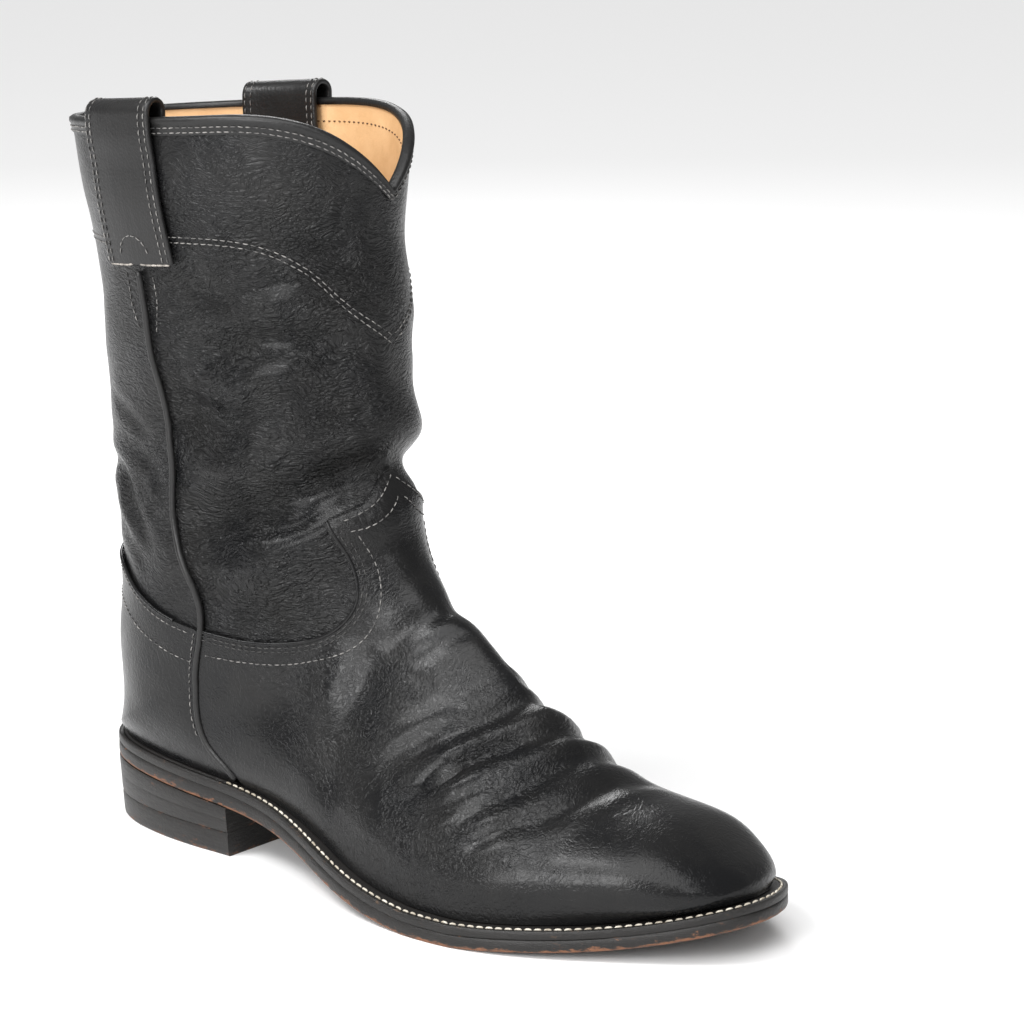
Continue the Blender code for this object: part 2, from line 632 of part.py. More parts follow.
def plate(name, rings, finish):
    """A solid through ladder rings from the bottom up, its ends closed rung by rung."""
    count = len(rings[0])
    half = count // 2
    faces = []
    for i in range(len(rings) - 1):
        a, b = i * count, (i + 1) * count
        for j in range(count):
            k = (j + 1) % count
            faces.append((a + j, a + k, b + k, b + j))
    top = (len(rings) - 1) * count
    for j in range(half - 1):
        faces.append((j, count - 1 - j, count - 2 - j, j + 1))
        faces.append((top + j, top + j + 1, top + count - 2 - j, top + count - 1 - j))
    return solid(name, np.concatenate(rings), faces, finish)


def welt_bottom(x):
    return underside(x) + edge_thickness(x) * (1 - WELT_SHARE)


def build_outsole(finish):
    x = np.sort(np.append(stations(OUTLINE), (FLAT_FROM, FLAT_TO)))
    rings = [ladder(OUTLINE, x, underside(x)), ladder(OUTLINE, x, welt_bottom(x) - GAP)]
    return plate("outsole", rings, finish)


def build_welt(finish):
    """A strip round the whole sole, from its edge to well inside the feather line."""
    inner = inset(FEATHER, WELT_WIDTH)
    x_out, x_in = stations(OUTLINE), stations(inner)
    rings = [ladder(OUTLINE, x_out, welt_bottom(x_out)), ladder(OUTLINE, x_out, feather_z(x_out)),
             ladder(inner, x_in, feather_z(x_in)), ladder(inner, x_in, welt_bottom(x_in))]
    return lofted("welt", [ring[::-1] for ring in rings], finish, closed=True)


def build_insole(finish):
    """The insole, stepped down inside the welt to the outsole."""
    wide = inset(FEATHER, LAP + WALL + INSOLE_CLEARANCE)
    narrow = inset(FEATHER, WELT_WIDTH + GAP)
    x_wide, x_narrow = stations(wide), stations(narrow)
    rings = [ladder(narrow, x_narrow, welt_bottom(x_narrow)),
             ladder(narrow, x_narrow, feather_z(x_narrow) + GAP),
             ladder(wide, x_wide, feather_z(x_wide) + GAP),
             ladder(wide, x_wide, feather_z(x_wide) + GAP + INSOLE)]
    return plate("insole", rings, finish)


def build_heel(stack_finish, lift_finish):
    """Two solids under the heel seat with a straight breast."""
    top = OUTLINE
    joint = inset(OUTLINE, HEEL_TAPER * 0.6)
    ground = inset(OUTLINE, HEEL_TAPER)
    x_top = stations(top, x_to=HEEL_BREAST_X, count=16)
    x_joint = stations(joint, x_to=HEEL_BREAST_X, count=16)
    x_ground = stations(ground, x_to=HEEL_BREAST_X, count=16)
    level = np.full(16, LIFT_TOP)
    stack = [ladder(joint, x_joint, level + GAP), ladder(top, x_top, underside(x_top) - GAP)]
    lift = [ladder(ground, x_ground, 0 * level), ladder(joint, x_joint, level)]
    return plate("heel_stack", stack, stack_finish), plate("top_lift", lift, lift_finish)


def build():
    for thing in list(bpy.data.objects):
        bpy.data.objects.remove(thing)
    black = (0.012, 0.012, 0.013)
    shaft_leather = material("shaft_leather", black, 0.38, 0.3)
    foot_leather = material("foot_leather", black, 0.32, 0.4)
    trim_leather = material("trim_leather", (0.009, 0.009, 0.010), 0.45, 0.2)
    sole_leather = material("sole_leather", (0.022, 0.017, 0.014), 0.55)
    welt_leather = material("welt_leather", (0.02, 0.018, 0.016), 0.5)
    heel_leather = material("heel_leather", (0.018, 0.014, 0.012), 0.5)
    lift_rubber = material("lift_rubber", (0.016, 0.014, 0.013), 0.6)
    tan_leather = material("tan_leather", (0.62, 0.40, 0.22), 0.6)
    build_upper(shaft_leather)
    build_vamp(foot_leather)
    build_counter(foot_leather)
    build_binding(trim_leather)
    for name, side in (("lateral", -1), ("medial", 1)):
        build_piping("piping_" + name, side, trim_leather)
        build_strap("pull_strap_" + name, side, trim_leather)
    build_insole(tan_leather)
    build_welt(welt_leather)
    build_outsole(sole_leather)
    build_heel(heel_leather, lift_rubber)


build()
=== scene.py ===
import bpy
import numpy as np
from mathutils import Matrix, Vector, noise


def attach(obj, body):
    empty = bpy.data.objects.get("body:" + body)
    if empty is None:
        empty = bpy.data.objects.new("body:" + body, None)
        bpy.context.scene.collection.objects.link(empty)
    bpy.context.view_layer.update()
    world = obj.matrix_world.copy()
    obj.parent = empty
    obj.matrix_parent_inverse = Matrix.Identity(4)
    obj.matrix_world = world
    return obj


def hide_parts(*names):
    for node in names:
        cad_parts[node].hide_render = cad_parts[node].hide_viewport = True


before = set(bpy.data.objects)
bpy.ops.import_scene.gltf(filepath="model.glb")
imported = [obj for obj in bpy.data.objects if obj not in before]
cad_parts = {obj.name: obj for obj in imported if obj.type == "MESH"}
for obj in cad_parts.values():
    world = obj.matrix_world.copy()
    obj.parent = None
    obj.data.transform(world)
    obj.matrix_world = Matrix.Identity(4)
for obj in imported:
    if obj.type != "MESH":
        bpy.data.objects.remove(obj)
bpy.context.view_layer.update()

MM = 0.001
BOX_MIDDLE_X = 145.7     # middle of the whole boot along its length
BOX_MIDDLE_Y = -3.8      # and across it
GAP = 0.3                # between pieces that meet
WALL = 2.2               # shaft leather with its lining
STAND = 0.45             # between the welt's top and the upper, whose edges bend differently
OVERLAY = 1.2            # vamp and counter leather
LAP = GAP + OVERLAY      # how far the upper lies in under vamp and counter
HEEL_BREAST_X = 80.0
LIFT_TOP = 9.2           # top of the layer that wears on the ground
HEEL_TAPER = 1.6         # the heel narrows by this much toward the ground
FLAT_FROM, FLAT_TO = 184.0, 208.0    # the forefoot's flat spot on the floor
WELT_SHARE = 0.4         # of the sole edge's thickness
WELT_WIDTH = 9.0         # of the welt inside the feather line

# Sole: x, lateral and medial half widths, height of the underside, thickness with the welt
SOLE = (
    (0.0, -1.0, 4.0, 24.0, 9.3),
    (7.5, 15.0, 22.0, 23.8, 9.3),
    (30.0, 27.0, 36.5, 22.8, 9.3),
    (60.0, 32.0, 38.0, 20.9, 9.3),
    (80.0, 32.8, 35.0, 19.3, 9.3),
    (105.0, 36.5, 30.5, 16.4, 9.3),
    (130.0, 44.5, 28.5, 11.0, 9.2),
    (155.0, 53.0, 30.5, 4.9, 9.0),
    (180.0, 57.0, 35.5, 0.6, 8.7),
    (205.0, 57.5, 43.0, 0.0, 8.3),
    (228.0, 52.0, 47.5, 1.5, 8.0),
    (250.0, 41.5, 47.5, 3.4, 7.9),
    (270.0, 30.5, 42.0, 6.6, 7.9),
    (286.0, 20.5, 32.5, 10.4, 7.9),
    (296.5, 9.5, 19.0, 13.2, 7.9),
    (300.0, -3.0, 6.0, 14.0, 7.9),
)
# How far the feather line, where upper meets welt, lies inside the sole's edge
MARGIN_X = (0.0, 80.0, 130.0, 300.0)
MARGIN = (3.2, 3.2, 5.8, 6.0)

# Upper: cuts from a point on the front line to one on the back line or, from heel_open on, to the
# feather line. Each has front x and z, back x and z, lateral and medial half widths, the share of the
# cut from its back point to its widest place, and the roundness in front and behind (2 is an ellipse).
SECTIONS = {
    "collar":      (139.3, 281.0, -7.7, 269.5, 48.5, 43.5, 0.49, 1.90, 2.05),
    "shaft_1":     (136.0, 250.0, -2.5, 242.5, 47.5, 43.0, 0.48, 1.90, 2.00),
    "shaft_2":     (133.5, 229.5, 3.0, 213.5, 43.0, 44.0, 0.47, 1.95, 2.00),
    "shaft_3":     (136.0, 205.5, 4.5, 186.0, 40.0, 45.5, 0.46, 2.00, 2.05),
    "ankle_bulge": (135.5, 182.5, 4.5, 155.0, 35.5, 46.0, 0.44, 2.00, 2.05),
    "ankle_fold":  (138.5, 165.0, 5.5, 125.5, 34.0, 47.5, 0.43, 2.00, 2.05),
    "throat":      (135.0, 152.0, 8.5, 95.0, 37.5, 46.0, 0.43, 2.00, 2.00),
    "instep_1":    (139.5, 139.0, 6.0, 70.0, 38.0, 43.5, 0.41, 2.05, 2.00),
    "instep_2":    (143.5, 123.0, 6.0, 48.5, 36.5, 44.0, 0.37, 2.05, 2.00),
    "heel_corner": (151.5, 110.5, 3.4, 33.6, 35.0, 42.5, 0.34, 2.05, 2.00),
    "heel_open":   (160.5, 101.5, 27.0, 0.0, 34.5, 41.5, 0.28, 1.85, 2.05),
    "waist_1":     (174.0, 94.5, 78.0, 0.0, 35.0, 39.5, 0.25, 1.62, 2.10),
    "waist_2":     (191.0, 81.5, 128.0, 0.0, 41.5, 40.5, 0.23, 1.50, 2.25),
    "ball_1":      (210.0, 69.0, 178.0, 0.0, 51.5, 44.5, 0.24, 1.50, 2.30),
    "ball_2":      (230.5, 54.5, 214.0, 0.0, 49.0, 46.5, 0.27, 1.62, 2.30),
    "toe_1":       (250.0, 47.5, 242.0, 0.0, 41.0, 45.0, 0.33, 1.85, 2.30),
    "toe_2":       (266.5, 43.5, 259.5, 0.0, 34.5, 41.0, 0.37, 2.05, 2.30),
    "toe_3":       (279.0, 37.0, 270.5, 0.0, 29.0, 36.0, 0.36, 2.10, 2.30),
    "toe_4":       (288.0, 31.3, 277.0, 0.0, 23.5, 32.0, 0.30, 2.00, 2.30),
    "toe_5":       (292.8, 26.2, 280.5, 0.0, 18.8, 29.3, 0.22, 1.80, 2.20),
    "tip":         (294.2, 21.6, 282.0, 0.0, 16.5, 28.0, 0.15, 1.60, 2.10),
}
OPEN_FROM = list(SECTIONS).index("heel_corner")
LAST = len(SECTIONS) - 1
LEAN_ROWS = 4            # sections above and below the heel's corner where the back line leans
FRONT_SHARE = 0.6        # of the grid's columns that lie in front of the widest place

# Collar: a V at the front
V_DEPTH = 29.5
V_HALF_WIDTH = 44.0
V_POWER = 1.7
COLLAR_ROWS = 2.0        # sections over which the V fades out
LEVEL_HEIGHT = 10.0      # over the welt, below which wall thickness is measured more and more levelly
# Upper lies in under the vamp and counter from here to here, by section number
LAP_FROM, LAP_TO = 4.5, 7.0

# Side seam, seen from the side, from just under the pull strap to the welt
SEAM = ((52.7, 219.5), (54.5, 205.0), (55.5, 186.0), (58.5, 165.0), (60.0, 145.0), (61.0, 125.0),
        (69.0, 108.0), (73.0, 96.0), (72.5, 86.0), (69.5, 75.0), (68.0, 65.0), (68.5, 53.0),
        (72.5, 42.5), (81.0, 34.5), (84.0, 31.0))
SEAM_BELOW = 8           # of these points, those that lie between vamp and counter start here
PIPING_RADIUS = 1.25
# Vamp's top edge seen from the side, from the seam to the tongue's side point
VAMP_EDGE = ((72.5, 86.8), (91.0, 85.4), (106.8, 86.4), (121.5, 90.0), (130.2, 96.2), (134.6, 105.2),
             (133.6, 112.5), (129.7, 122.3), (123.6, 133.3))
# and the tongue's peak seen from the front: half width and height
TONGUE_PEAK = ((23.0, 133.3), (18.3, 136.6), (12.2, 140.4), (6.2, 145.3), (0.0, 151.0))
COUNTER_EDGE = ((-12.0, 111.5), (6.0, 108.0), (26.8, 102.0), (45.6, 93.5), (60.0, 89.0), (72.5, 86.8))

STRAP_X = 49.5           # middle of both pull straps
STRAP_WIDTH = 35.0
STRAP_THICKNESS = 2.2
STRAP_OUT, STRAP_IN = 2.8, -5.6      # where its legs' middles pass the collar
STRAP_ARCH_Z = 2.7       # the loop's round top starts here above the collar
STRAP_LEG, STRAP_INNER_LEG = 51.5, 30.0
STRAP_LEAN = 0.085       # slope of its edges, square to the collar

BINDING_DEPTH = 4.5
BINDING_GAP = 0.45       # between it and the shaft


def spline(knots, values, at):
    """Natural cubic spline through values, one row or number for each knot."""
    x = np.asarray(knots, float)
    y = np.asarray(values, float)
    at = np.asarray(at, float)
    count = len(x)
    step = np.diff(x)
    matrix = np.eye(count)
    right = np.zeros_like(y)
    for i in range(1, count - 1):
        matrix[i, i - 1:i + 2] = step[i - 1], 2 * (step[i - 1] + step[i]), step[i]
        right[i] = 6 * ((y[i + 1] - y[i]) / step[i] - (y[i] - y[i - 1]) / step[i - 1])
    bend = np.linalg.solve(matrix, right)
    i = np.clip(np.searchsorted(x, at, side="right") - 1, 0, count - 2)
    a, b, h = x[i + 1] - at, at - x[i], step[i]
    if y.ndim > 1:
        a, b, h = a[..., None], b[..., None], h[..., None]
    curve = (bend[i] * a ** 3 + bend[i + 1] * b ** 3) / (6 * h)
    return curve + (y[i] / h - bend[i] * h / 6) * a + (y[i + 1] / h - bend[i + 1] * h / 6) * b


def ramp(value, low, high):
    """A smooth rise from 0 at low to 1 at high."""
    share = np.clip((value - low) / (high - low), 0, 1)
    return share * share * (3 - 2 * share)


def through(points, count):
    """A smooth open curve of count points through the given ones, evenly spaced."""
    points = np.asarray(points, float)
    reach = np.concatenate([[0], np.cumsum(np.linalg.norm(np.diff(points, axis=0), axis=1))])
    return spline(reach, points, np.linspace(0, reach[-1], count))


def sole_outline(count=480):
    """The sole's outline as a closed loop, from the heel's back round the outer side to the toe."""
    table = np.array(SOLE)
    lateral = np.column_stack([table[:, 0], -table[:, 1]])
    medial = np.column_stack([table[:, 0], table[:, 2]])
    middle = (lateral + medial) / 2
    points = np.concatenate([middle[:1], lateral[1:-1], middle[-1:], medial[-2:0:-1]])
    extra = 6
    wrapped = np.concatenate([points[-extra:], points, points[:extra]])
    chord = np.linalg.norm(np.diff(wrapped, axis=0), axis=1)
    reach = np.concatenate([[0], np.cumsum(np.sqrt(chord))])
    around = np.linspace(reach[extra], reach[extra + len(points)], count, endpoint=False)
    return spline(reach, wrapped, around)


def inset(loop, distance):
    """The loop moved inward by a distance, one number or one for each point."""
    along = np.roll(loop, -1, axis=0) - np.roll(loop, 1, axis=0)
    along /= np.linalg.norm(along, axis=1)[:, None]
    inward = np.column_stack([-along[:, 1], along[:, 0]])
    return loop + inward * np.reshape(distance, (-1, 1))


def side_y(loop, x, side):
    """y of the loop's lateral (-1) or medial (+1) side at x."""
    from_back = np.roll(loop, -np.argmin(loop[:, 0]), axis=0)
    toe = np.argmax(from_back[:, 0])
    part = from_back[:toe + 1] if side < 0 else np.roll(from_back, -1, axis=0)[toe - 1:][::-1]
    return np.interp(x, part[:, 0], part[:, 1])


def underside(x):
    """Height of the sole's underside, with the forefoot's flat spot."""
    table = np.array(SOLE)
    height = spline(table[:, 0], table[:, 3], np.clip(x, 0, table[-1, 0]))
    return np.where((x >= FLAT_FROM) & (x <= FLAT_TO), 0.0, np.maximum(height, 0.0))


def edge_thickness(x):
    table = np.array(SOLE)
    return np.interp(x, table[:, 0], table[:, 4])


def feather_z(x):
    """Height of the welt's top, where the upper stands."""
    return underside(x) + edge_thickness(x)


OUTLINE = sole_outline()
FEATHER = inset(OUTLINE, np.interp(OUTLINE[:, 0], MARGIN_X, MARGIN))
FEATHER_BACK, HEEL_Y = FEATHER[np.argmin(FEATHER[:, 0])]


def cuts(t):
    """The section table at the section numbers t, and the feather line's half widths there."""
    table = np.array(list(SECTIONS.values()))
    number = np.arange(len(table))
    row = spline(number, table, t)
    closed = t <= OPEN_FROM
    upper_part = number[:OPEN_FROM + 1]
    lower_part = number[OPEN_FROM:]
    # from the heel's corner on, the base point runs along the feather line, slowly at first
    root = np.sqrt(np.maximum(table[OPEN_FROM:, 2] - FEATHER_BACK, 0))
    root[0] = 0
    base_x = FEATHER_BACK + spline(lower_part, root, np.maximum(t, OPEN_FROM)) ** 2
    shaft_x = spline(upper_part, table[:OPEN_FROM + 1, 2], np.minimum(t, OPEN_FROM))
    shaft_z = spline(upper_part, table[:OPEN_FROM + 1, 3], np.minimum(t, OPEN_FROM))
    row[..., 2] = np.where(closed, shaft_x, base_x)
    row[..., 3] = np.where(closed, shaft_z, feather_z(base_x) + STAND)
    # the back line leans over to the sole's own middle at the heel
    lean = HEEL_Y * ramp(t, OPEN_FROM - LEAN_ROWS, OPEN_FROM) * (1 - ramp(t, OPEN_FROM, OPEN_FROM + LEAN_ROWS))
    base_lateral = np.where(closed, 0, np.maximum(lean - side_y(FEATHER, base_x, -1), 0))
    base_medial = np.where(closed, 0, np.maximum(side_y(FEATHER, base_x, 1) - lean, 0))
    return row, lean, base_lateral, base_medial


def tip_arc(s):
    """Points of the feather line round the toe's tip, between the last section's base points."""
    arc = FEATHER[FEATHER[:, 0] >= SECTIONS["tip"][2]]
    reach = np.concatenate([[0], np.cumsum(np.linalg.norm(np.diff(arc, axis=0), axis=1))])
    middle = np.interp(0, arc[:, 1], reach)
    along = np.interp(s, (-1, 0, 1), (0, middle, reach[-1]))
    x = np.interp(along, reach, arc[:, 0])
    y = np.interp(along, reach, arc[:, 1])
    return np.stack([x, y, feather_z(x) + STAND], axis=-1)


def form(t, s):
    """Points of the boot's outer form at section numbers t and shares s round the section:
    -1 the outer side's back or base, 0 the front line, 1 the inner side's back or base."""
    t, s = np.broadcast_arrays(np.asarray(t, float), np.asarray(s, float))
    row, lean, base_lateral, base_medial = cuts(t)
    front_x, front_z, back_x, back_z, lateral, medial, widest, front, back = np.moveaxis(row, -1, 0)
    width = np.where(s < 0, lateral, medial)
    base = np.where(s < 0, base_lateral, base_medial)
    width = np.maximum(width, base * 1.005)
    share = np.abs(s)
    ahead = share <= FRONT_SHARE
    # the back quarter ends where its half width has come down to the base's
    ending = np.arccos((base / width) ** (back / 2))
    turn = np.where(ahead, share / FRONT_SHARE * np.pi / 2, (share - FRONT_SHARE) / (1 - FRONT_SHARE) * ending)
    sine = np.clip(np.sin(turn), 0, 1)
    cosine = np.clip(np.cos(turn), 0, 1)
    along_front = widest + (1 - widest) * cosine ** (2 / front)
    along_back = widest * (1 - (sine / np.sin(ending)) ** (2 / back))
    along = np.where(ahead, along_front, along_back)
    across = width * np.where(ahead, sine ** (2 / front), cosine ** (2 / back))
    x = back_x + (front_x - back_x) * along
    z = back_z + (front_z - back_z) * along
    shift = lean * np.clip(1 - along / widest, 0, 1) ** 2
    point = np.stack([x, np.where(s < 0, -across, across) + shift, z], axis=-1)
    near_tip = ramp(t, LAST - 1, LAST)[..., None]
    return point * (1 - near_tip) + tip_arc(s) * near_tip


def unit(vector):
    return vector / np.maximum(np.linalg.norm(vector, axis=-1, keepdims=True), 1e-9)


def form_normal(t, s):
    """Outward normals of the form; level ones along the feather line."""
    t, s = np.broadcast_arrays(np.asarray(t, float), np.asarray(s, float))
    small_t, small_s = 0.03, 0.02
    closed = t <= OPEN_FROM
    high = np.minimum(t + small_t, np.where(closed, OPEN_FROM, LAST))
    low = np.maximum(t - small_t, np.where(closed, 0, OPEN_FROM))
    right, left = np.minimum(s + small_s, 1), np.maximum(s - small_s, -1)
    down = form(high, s) - form(low, s)
    across = form(t, right) - form(t, left)
    normal = np.cross(down, across)
    # the back line of the closed sections has no sideways lean
    back_line = (np.abs(s) > 1 - 1e-6) & closed
    normal[..., 1] = np.where(back_line, 0, normal[..., 1])
    base_line = (np.abs(s) > 1 - 1e-6) & ~closed
    along = np.where(base_line[..., None], down * np.sign(s)[..., None], -across)
    level = np.stack([-along[..., 1], along[..., 0], np.zeros_like(s)], axis=-1)
    on_feather = base_line | (t > LAST - 1e-6)
    normal = unit(np.where(on_feather[..., None], level, normal))
    # a face that leans out over the welt is thickened levelly close to it
    place = form(t, s)
    height = (place[..., 2] - feather_z(place[..., 0])) / LEVEL_HEIGHT
    normal[..., 2] *= np.where(normal[..., 2] < 0, np.clip(height, 0, 1), 1)
    # round the heel, where the cuts fan out from its corner, the cut's own level normal is steadier
    plan = unit(np.stack([across[..., 1], -across[..., 0], np.zeros_like(s)], axis=-1))
    near = ramp(np.abs(s), 0.45, 0.62) * ramp(t, 7.8, 8.8) * (1 - ramp(t, 10.0, 11.5))
    near = np.where(on_feather, 0, near)[..., None]
    return unit(unit(normal) * (1 - near) + plan * near)


def lap(t):
    """How far the upper lies inside the form, under vamp and counter."""
    return LAP * ramp(t, LAP_FROM, LAP_TO)


def skin(t, s, out=0.0):
    """Points at a distance out from the upper's outer face."""
    t, s = np.broadcast_arrays(np.asarray(t, float), np.asarray(s, float))
    point = form(t, s) + form_normal(t, s) * (out - lap(t))[..., None]
    on_feather = ((np.abs(s) > 1 - 1e-6) & (t > OPEN_FROM)) | (t > LAST - 1e-6)
    point[..., 2] = np.where(on_feather, feather_z(point[..., 0]) + STAND, point[..., 2])
    return point


def collar_start(s):
    """Section number at which the shaft's top edge lies, lower at the front's V."""
    sideways = np.abs(form(0, s)[..., 1])
    ahead = np.abs(s) < FRONT_SHARE
    drop = V_DEPTH * np.clip(1 - sideways / V_HALF_WIDTH, 0, 1) ** V_POWER
    first_step = SECTIONS["collar"][1] - SECTIONS["shaft_1"][1]
    return np.where(ahead, drop, 0) / first_step


# Wrinkles: each runs through points given by x, z and a side: -1 outer, 1 inner, 0 on the front line.
# Depth and half width come first; a ridge stands on both sides of the trough.
CREASES = (
    # ankle, outer side
    (5.4, 8.0, ((134, 0, 152), (126, -1, 147), (114, -1, 141), (96, -1, 134), (76, -1, 128), (62, -1, 125))),
    (2.8, 5.5, ((75, -1, 186), (94, -1, 195), (114, -1, 198), (129, -1, 196))),
    (3.0, 7.5, ((61, -1, 172), (73, -1, 168), (86, -1, 165), (98, -1, 163))),
    (1.0, 3.5, ((66, -1, 162), (80, -1, 155), (95, -1, 150), (104, -1, 149))),
    (1.2, 3.0, ((80, -1, 121), (96, -1, 127), (112, -1, 131), (122, -1, 138))),
    (0.9, 2.6, ((72, -1, 116), (90, -1, 119), (104, -1, 121))),
    (1.1, 6.0, ((74, -1, 103), (84, -1, 98), (100, -1, 95), (116, -1, 97))),
    # behind the outer seam
    (1.7, 3.4, ((8, -1, 141), (24, -1, 139), (36, -1, 124), (50, -1, 113))),
    (1.1, 3.0, ((29, -1, 152), (44, -1, 146), (53, -1, 134))),
    (1.0, 3.2, ((14, -1, 122), (30, -1, 116), (46, -1, 106))),
    (0.8, 3.0, ((20, -1, 168), (34, -1, 163), (47, -1, 152))),
    # drag lines at the collar's V and the yoke
    (0.5, 2.6, ((131, -1, 240), (118, -1, 232), (104, -1, 228))),
    (0.5, 2.6, ((128, -1, 226), (116, -1, 221), (104, -1, 219))),
    (0.5, 3.0, ((66, -1, 226), (78, -1, 216), (92, -1, 211))),
    # ankle, inner side
    (3.0, 6.0, ((134, 0, 153), (125, 1, 148), (112, 1, 141), (94, 1, 135), (74, 1, 129))),
    (1.5, 5.0, ((76, 1, 183), (95, 1, 192), (115, 1, 196), (129, 1, 193))),
    (2.0, 7.0, ((60, 1, 168), (76, 1, 163), (92, 1, 161))),
    (1.0, 3.4, ((70, 1, 120), (90, 1, 124), (110, 1, 131))),
    (1.4, 3.4, ((10, 1, 142), (26, 1, 136), (40, 1, 124))),
    (0.9, 3.2, ((20, 1, 160), (38, 1, 154), (52, 1, 145))),
    # instep
    (0.8, 4.2, ((160, 0, 102), (154, -1, 94), (148, -1, 86))),
    (1.9, 7.0, ((146, -1, 88), (141, -1, 71), (138, -1, 56), (139, -1, 44), (144, -1, 33))),
    (0.7, 5.0, ((160, 0, 102), (152, 1, 93), (145, 1, 80))),
    (0.8, 3.4, ((168, 0, 96), (163, -1, 90), (158, -1, 84))),
    # vamp, from the outer side over the top to the inner side
    (2.0, 4.0, ((159, -1, 44), (170, -1, 55), (183, -1, 64), (194, -1, 71), (200, 0, 76), (196, 1, 68),
                (186, 1, 56))),
    (1.9, 3.6, ((169, -1, 40), (186, -1, 53), (200, -1, 62), (215, 0, 66), (211, 1, 58), (202, 1, 48))),
    (1.6, 3.4, ((194, -1, 34), (202, -1, 42), (213, -1, 50), (224, 0, 59), (221, 1, 50), (214, 1, 41))),
    (1.1, 3.2, ((222, -1, 40), (233, -1, 47), (241, 0, 51), (238, 1, 45))),
    (1.4, 3.2, ((176, -1, 48), (192, -1, 58), (206, -1, 65))),
    (1.2, 3.0, ((182, -1, 37), (197, -1, 46), (208, -1, 53))),
    (1.1, 3.2, ((150, -1, 42), (160, -1, 52), (172, -1, 63), (184, -1, 72))),
    (0.9, 3.0, ((205, -1, 33), (214, -1, 39), (224, -1, 44))),
    (1.2, 3.0, ((178, 1, 60), (186, 1, 68), (193, 0, 81))),
    (1.0, 2.8, ((193, 1, 40), (204, 1, 51), (212, 1, 60))),
)
RIDGE = 0.4              # a ridge's height as a share of its trough's depth
# Soft swellings and hollows: height, radius, then x, side and z of the middle
SWELLINGS = (
    (5.0, 20.0, 98, -1, 174), (-1.2, 16.0, 70, -1, 176), (1.4, 13.0, 82, -1, 150), (3.4, 16.0, 98, -1, 109),
    (1.2, 12.0, 30, -1, 128), (-0.9, 14.0, 98, -1, 214), (1.8, 18.0, 102, 1, 176), (1.6, 16.0, 100, 1, 114),
    (1.0, 12.0, 28, 1, 130), (1.3, 13.0, 128, -1, 70), (-0.9, 12.0, 112, -1, 62), (1.0, 11.0, 158, -1, 62),
    (0.8, 16.0, 22, -1, 190), (0.8, 16.0, 24, 1, 196),
)
# Where the grain stands up in fine puckers: strength, radius, x, side, z
PUCKERS = (
    (1.0, 34.0, 104, -1, 180), (1.0, 26.0, 84, -1, 150), (1.0, 30.0, 104, -1, 116), (0.75, 30.0, 120, -1, 232),
    (0.8, 26.0, 26, -1, 140), (0.7, 34.0, 88, -1, 212), (1.0, 34.0, 104, 1, 178), (1.0, 28.0, 98, 1, 118),
    (0.7, 30.0, 30, 1, 145), (0.6, 34.0, 88, 1, 214), (0.5, 24.0, 140, -1, 66), (0.5, 30.0, 185, -1, 52),
    (0.45, 30.0, 205, -1, 46), (0.4, 30.0, 190, 1, 52),
)


def on_form(points, side, axes=(0, 2), shares=(0.05, 0.985)):
    """Section numbers and shares of the form's points seen at two of their coordinates."""
    points = np.atleast_2d(np.asarray(points, float))
    t, s = np.meshgrid(np.linspace(0, LAST - 0.6, 200), side * np.linspace(*shares, 80), indexing="ij")
    surface = form(t, s)[..., list(axes)].reshape(-1, 2)
    nearest = np.argmin(((points[:, None] - surface[None]) ** 2).sum(axis=2), axis=1)
    number, share = t.ravel()[nearest].copy(), s.ravel()[nearest].copy()
    step = 0.004
    for _ in range(8):
        here = form(number, share)[..., list(axes)]
        by_t = (form(number + step, share)[..., list(axes)] - here) / step
        by_s = (form(number, share + step)[..., list(axes)] - here) / step
        miss = points - here
        scale = by_t[:, 0] * by_s[:, 1] - by_t[:, 1] * by_s[:, 0]
        scale = np.where(np.abs(scale) < 1e-6, 1e-6, scale)
        move_t = (miss[:, 0] * by_s[:, 1] - miss[:, 1] * by_s[:, 0]) / scale
        move_s = (by_t[:, 0] * miss[:, 1] - by_t[:, 1] * miss[:, 0]) / scale
        number = np.clip(number + np.clip(move_t, -0.3, 0.3), 0, LAST - 0.05)
        share = side * np.clip(side * (share + np.clip(move_s, -0.05, 0.05)), 0.0, 0.995)
    return np.column_stack([number, share])


FRONT_NUMBERS = np.linspace(0, LAST, 400)
FRONT_HEIGHTS = form(FRONT_NUMBERS, 0.0)[:, 2]


def placed(x, side, z):
    """Section number and share of a point given by x, side and z."""
    if side == 0:
        return np.array([np.interp(-z, -FRONT_HEIGHTS, FRONT_NUMBERS), 0.0])
    return on_form((x, z), side)[0]


def surface_line(spots, count):
    """A smooth line over the form through spots of x, side and z, as section numbers and shares."""
    anchors = np.array([placed(*spot) for spot in spots])
    reach = np.linalg.norm(np.diff(form(anchors[:, 0], anchors[:, 1]), axis=0), axis=1)
    reach = np.concatenate([[0], np.cumsum(reach)])
    return spline(reach, anchors, np.linspace(0, reach[-1], count))


CREASE_LINES = []
for depth, half_width, spots in CREASES:
    route = surface_line(spots, 26)
    CREASE_LINES.append((depth, half_width, form(route[:, 0], route[:, 1])))
SWELLING_SPOTS = [(height, radius, form(*placed(x, side, z))) for height, radius, x, side, z in SWELLINGS]
PUCKER_SPOTS = [(strength, radius, form(*placed(x, side, z))) for strength, radius, x, side, z in PUCKERS]


